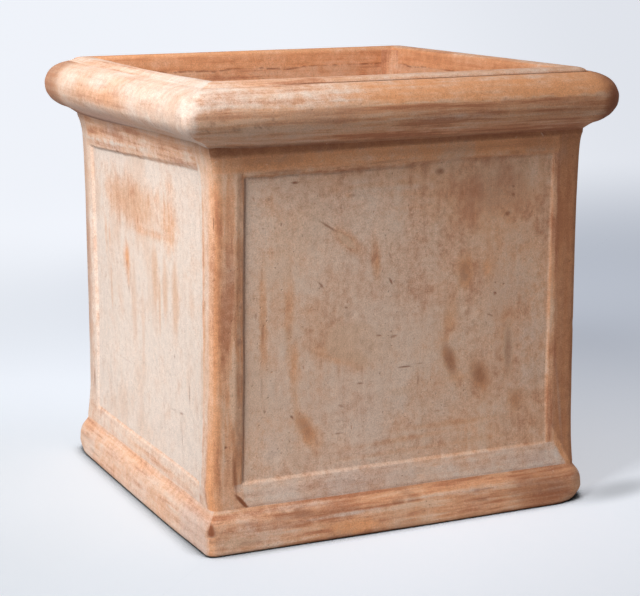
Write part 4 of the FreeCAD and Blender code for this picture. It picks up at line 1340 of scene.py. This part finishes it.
def floor_material(stage):
    """A pale floor that keeps the planter's shadow, and grows paler far behind it."""
    material = bpy.data.materials.new("pale_floor")
    material.use_nodes = True
    t = Nodes(material.node_tree)
    place = t.put("TexCoord", out="Object")
    # paleness by the distance from the lit spot, and shadier far to the right
    far = t.reach(t.vectors("SUBTRACT", place, (-0.42, 0.05, 0.0)))
    across = t.put("SeparateXYZ", {0: place}, None)
    aside = t.maths("DIVIDE", across["X"], t.most(t.maths("ADD", across["Y"], 0.8), 0.5))
    shady = tuple(value - 0.12 for value in stage.far_lift)
    distant = t.blend(t.ramp(aside, 0.38, 0.66), stage.far_lift, shady)
    lift = t.blend(t.ramp(far, 0.10, 0.60), stage.near_lift, stage.floor_lift)
    lift = t.blend(t.ramp(far, 0.45, 2.0), lift, distant)
    # the broad dim oval behind on the right
    spun = t.spun(t.vectors("SUBTRACT", place, (0.85, 0.70, 0.0)), -48)
    spun = t.put("SeparateXYZ", {0: spun}, None)
    behind = t.most(t.product(spun["X"], 0.57), t.product(spun["X"], -1.0))
    oval = t.reach(t.put("CombineXYZ", {"X": behind, "Y": spun["Y"]}))
    lift = t.blend(t.ramp(oval, 1.15, 0.15), lift, stage.dim_lift)
    # the veil of shade beside the foot, and the contact shadow
    beside = t.spun(t.vectors("SUBTRACT", place, (0.272, -0.214, 0.0)), -14)
    veil = t.ramp(t.reach(t.vectors("MULTIPLY", beside, (10.0, 26.0, 0.0))), 1.0, 0.1)
    open_air = t.put("AmbientOcclusion", {"Distance": 0.035}, "AO", samples=6)
    clear = t.product(t.ramp(open_air, 0.49, 0.70), t.maths("SUBTRACT", 1.0, t.product(veil, 0.4)))
    tone = t.blend(clear, (0.05, 0.05, 0.05), stage.floor)
    matt = t.put("BsdfDiffuse", {"Color": tone})
    pale = t.put("Emission", {"Color": lift, "Strength": t.product(t.seen(), clear)})
    t.end("ShaderNodeOutputMaterial", "Surface", t.put("AddShader", {0: matt, 1: pale}))
    return material


def make_world(stage):
    """Even light all round, and a paler ground where the camera looks past the floor."""
    world = bpy.data.worlds.new("studio")
    world.use_nodes = True
    t = Nodes(world.node_tree)
    even = t.put("Background", {"Color": (0.96, 0.98, 1.0, 1), "Strength": stage.fill})
    pale = t.put("Background", {"Color": (0.86, 0.89, 0.93, 1), "Strength": 1.0})
    t.end("ShaderNodeOutputWorld", "Surface", t.put("MixShader", {0: t.seen(), 1: even, 2: pale}))
    return world


class PLANTER_OT_stage(PlanterOperator, bpy.types.Operator):
    """Makes the floor, the light and the camera"""

    bl_idname = "planter.stage"
    bl_label = "Stage"

    def execute(self, context):
        scene, stage = context.scene, context.scene.planter_stage
        half = stage.floor_size
        mesh = bpy.data.meshes.new("floor")
        mesh.from_pydata([(-half, -half, 0), (half, -half, 0), (half, half, 0), (-half, half, 0)], [],
                         [(0, 1, 2, 3)])
        floor = bpy.data.objects.new("floor", mesh)
        mesh.materials.append(floor_material(stage))
        scene.collection.objects.link(floor)

        box = bpy.data.lights.new("softbox", "AREA")
        box.energy, box.size, box.spread = stage.key_power, stage.key_size, stage.key_spread
        key = bpy.data.objects.new("softbox", box)
        key.rotation_mode = "QUATERNION"
        key.location = stage.key_place
        key.rotation_quaternion = (Vector(stage.key_place) - Vector(stage.key_aim)).to_track_quat("Z", "Y")
        scene.collection.objects.link(key)
        scene.world = make_world(stage)

        data = bpy.data.cameras.new("camera")
        data.sensor_width, data.lens = 36.0, stage.lens
        data.clip_start, data.clip_end = 0.05, 500.0
        camera = bpy.data.objects.new("camera", data)
        scene.collection.objects.link(camera)
        a, e = stage.turn, stage.rise
        back = Vector((math.sin(a) * math.cos(e), -math.cos(a) * math.cos(e), math.sin(e)))
        right = Vector((math.cos(a), math.sin(a), 0))
        up = back.cross(right)
        c, s = math.cos(stage.roll), math.sin(stage.roll)
        level = Matrix((c * right + s * up, c * up - s * right, back)).transposed()
        place = Vector(stage.target) + back * stage.distance
        camera.matrix_world = Matrix.Translation(place) @ level.to_4x4()
        scene.camera = camera
        scene.view_settings.view_transform = "Standard"
        return {"FINISHED"}


class PLANTER_PT_panel(bpy.types.Panel):
    """Lists the planter's pieces in the sidebar"""

    bl_idname = "PLANTER_PT_panel"
    bl_label = "Planter"
    bl_space_type = "VIEW_3D"
    bl_region_type = "UI"
    bl_category = "Planter"

    def draw(self, context):
        for name, group in GROUPS:
            for setting in group.__annotations__:
                self.layout.prop(getattr(context.scene, name), setting)
        for operator in MAKERS:
            self.layout.operator(operator.bl_idname)


GROUPS = (("planter_shape", PlanterShape), ("planter_finish", PlanterFinish),
          ("planter_stage", PlanterStage))
MAKERS = (PLANTER_OT_stage, PLANTER_OT_base, PLANTER_OT_walls, PLANTER_OT_feet, PLANTER_OT_rims,
          PLANTER_OT_lips, PLANTER_OT_coils)


def register():
    for name, group in GROUPS:
        bpy.utils.register_class(group)
        setattr(bpy.types.Scene, name, PointerProperty(type=group))
    for made in (*MAKERS, PLANTER_PT_panel):
        bpy.utils.register_class(made)


def unregister():
    for made in (PLANTER_PT_panel, *reversed(MAKERS)):
        bpy.utils.unregister_class(made)
    for name, group in reversed(GROUPS):
        delattr(bpy.types.Scene, name)
        bpy.utils.unregister_class(group)


def main():
    register()
    for operator in MAKERS:
        group, name = operator.bl_idname.split(".")
        getattr(getattr(bpy.ops, group), name)()


if __name__ == "__main__":
    main()
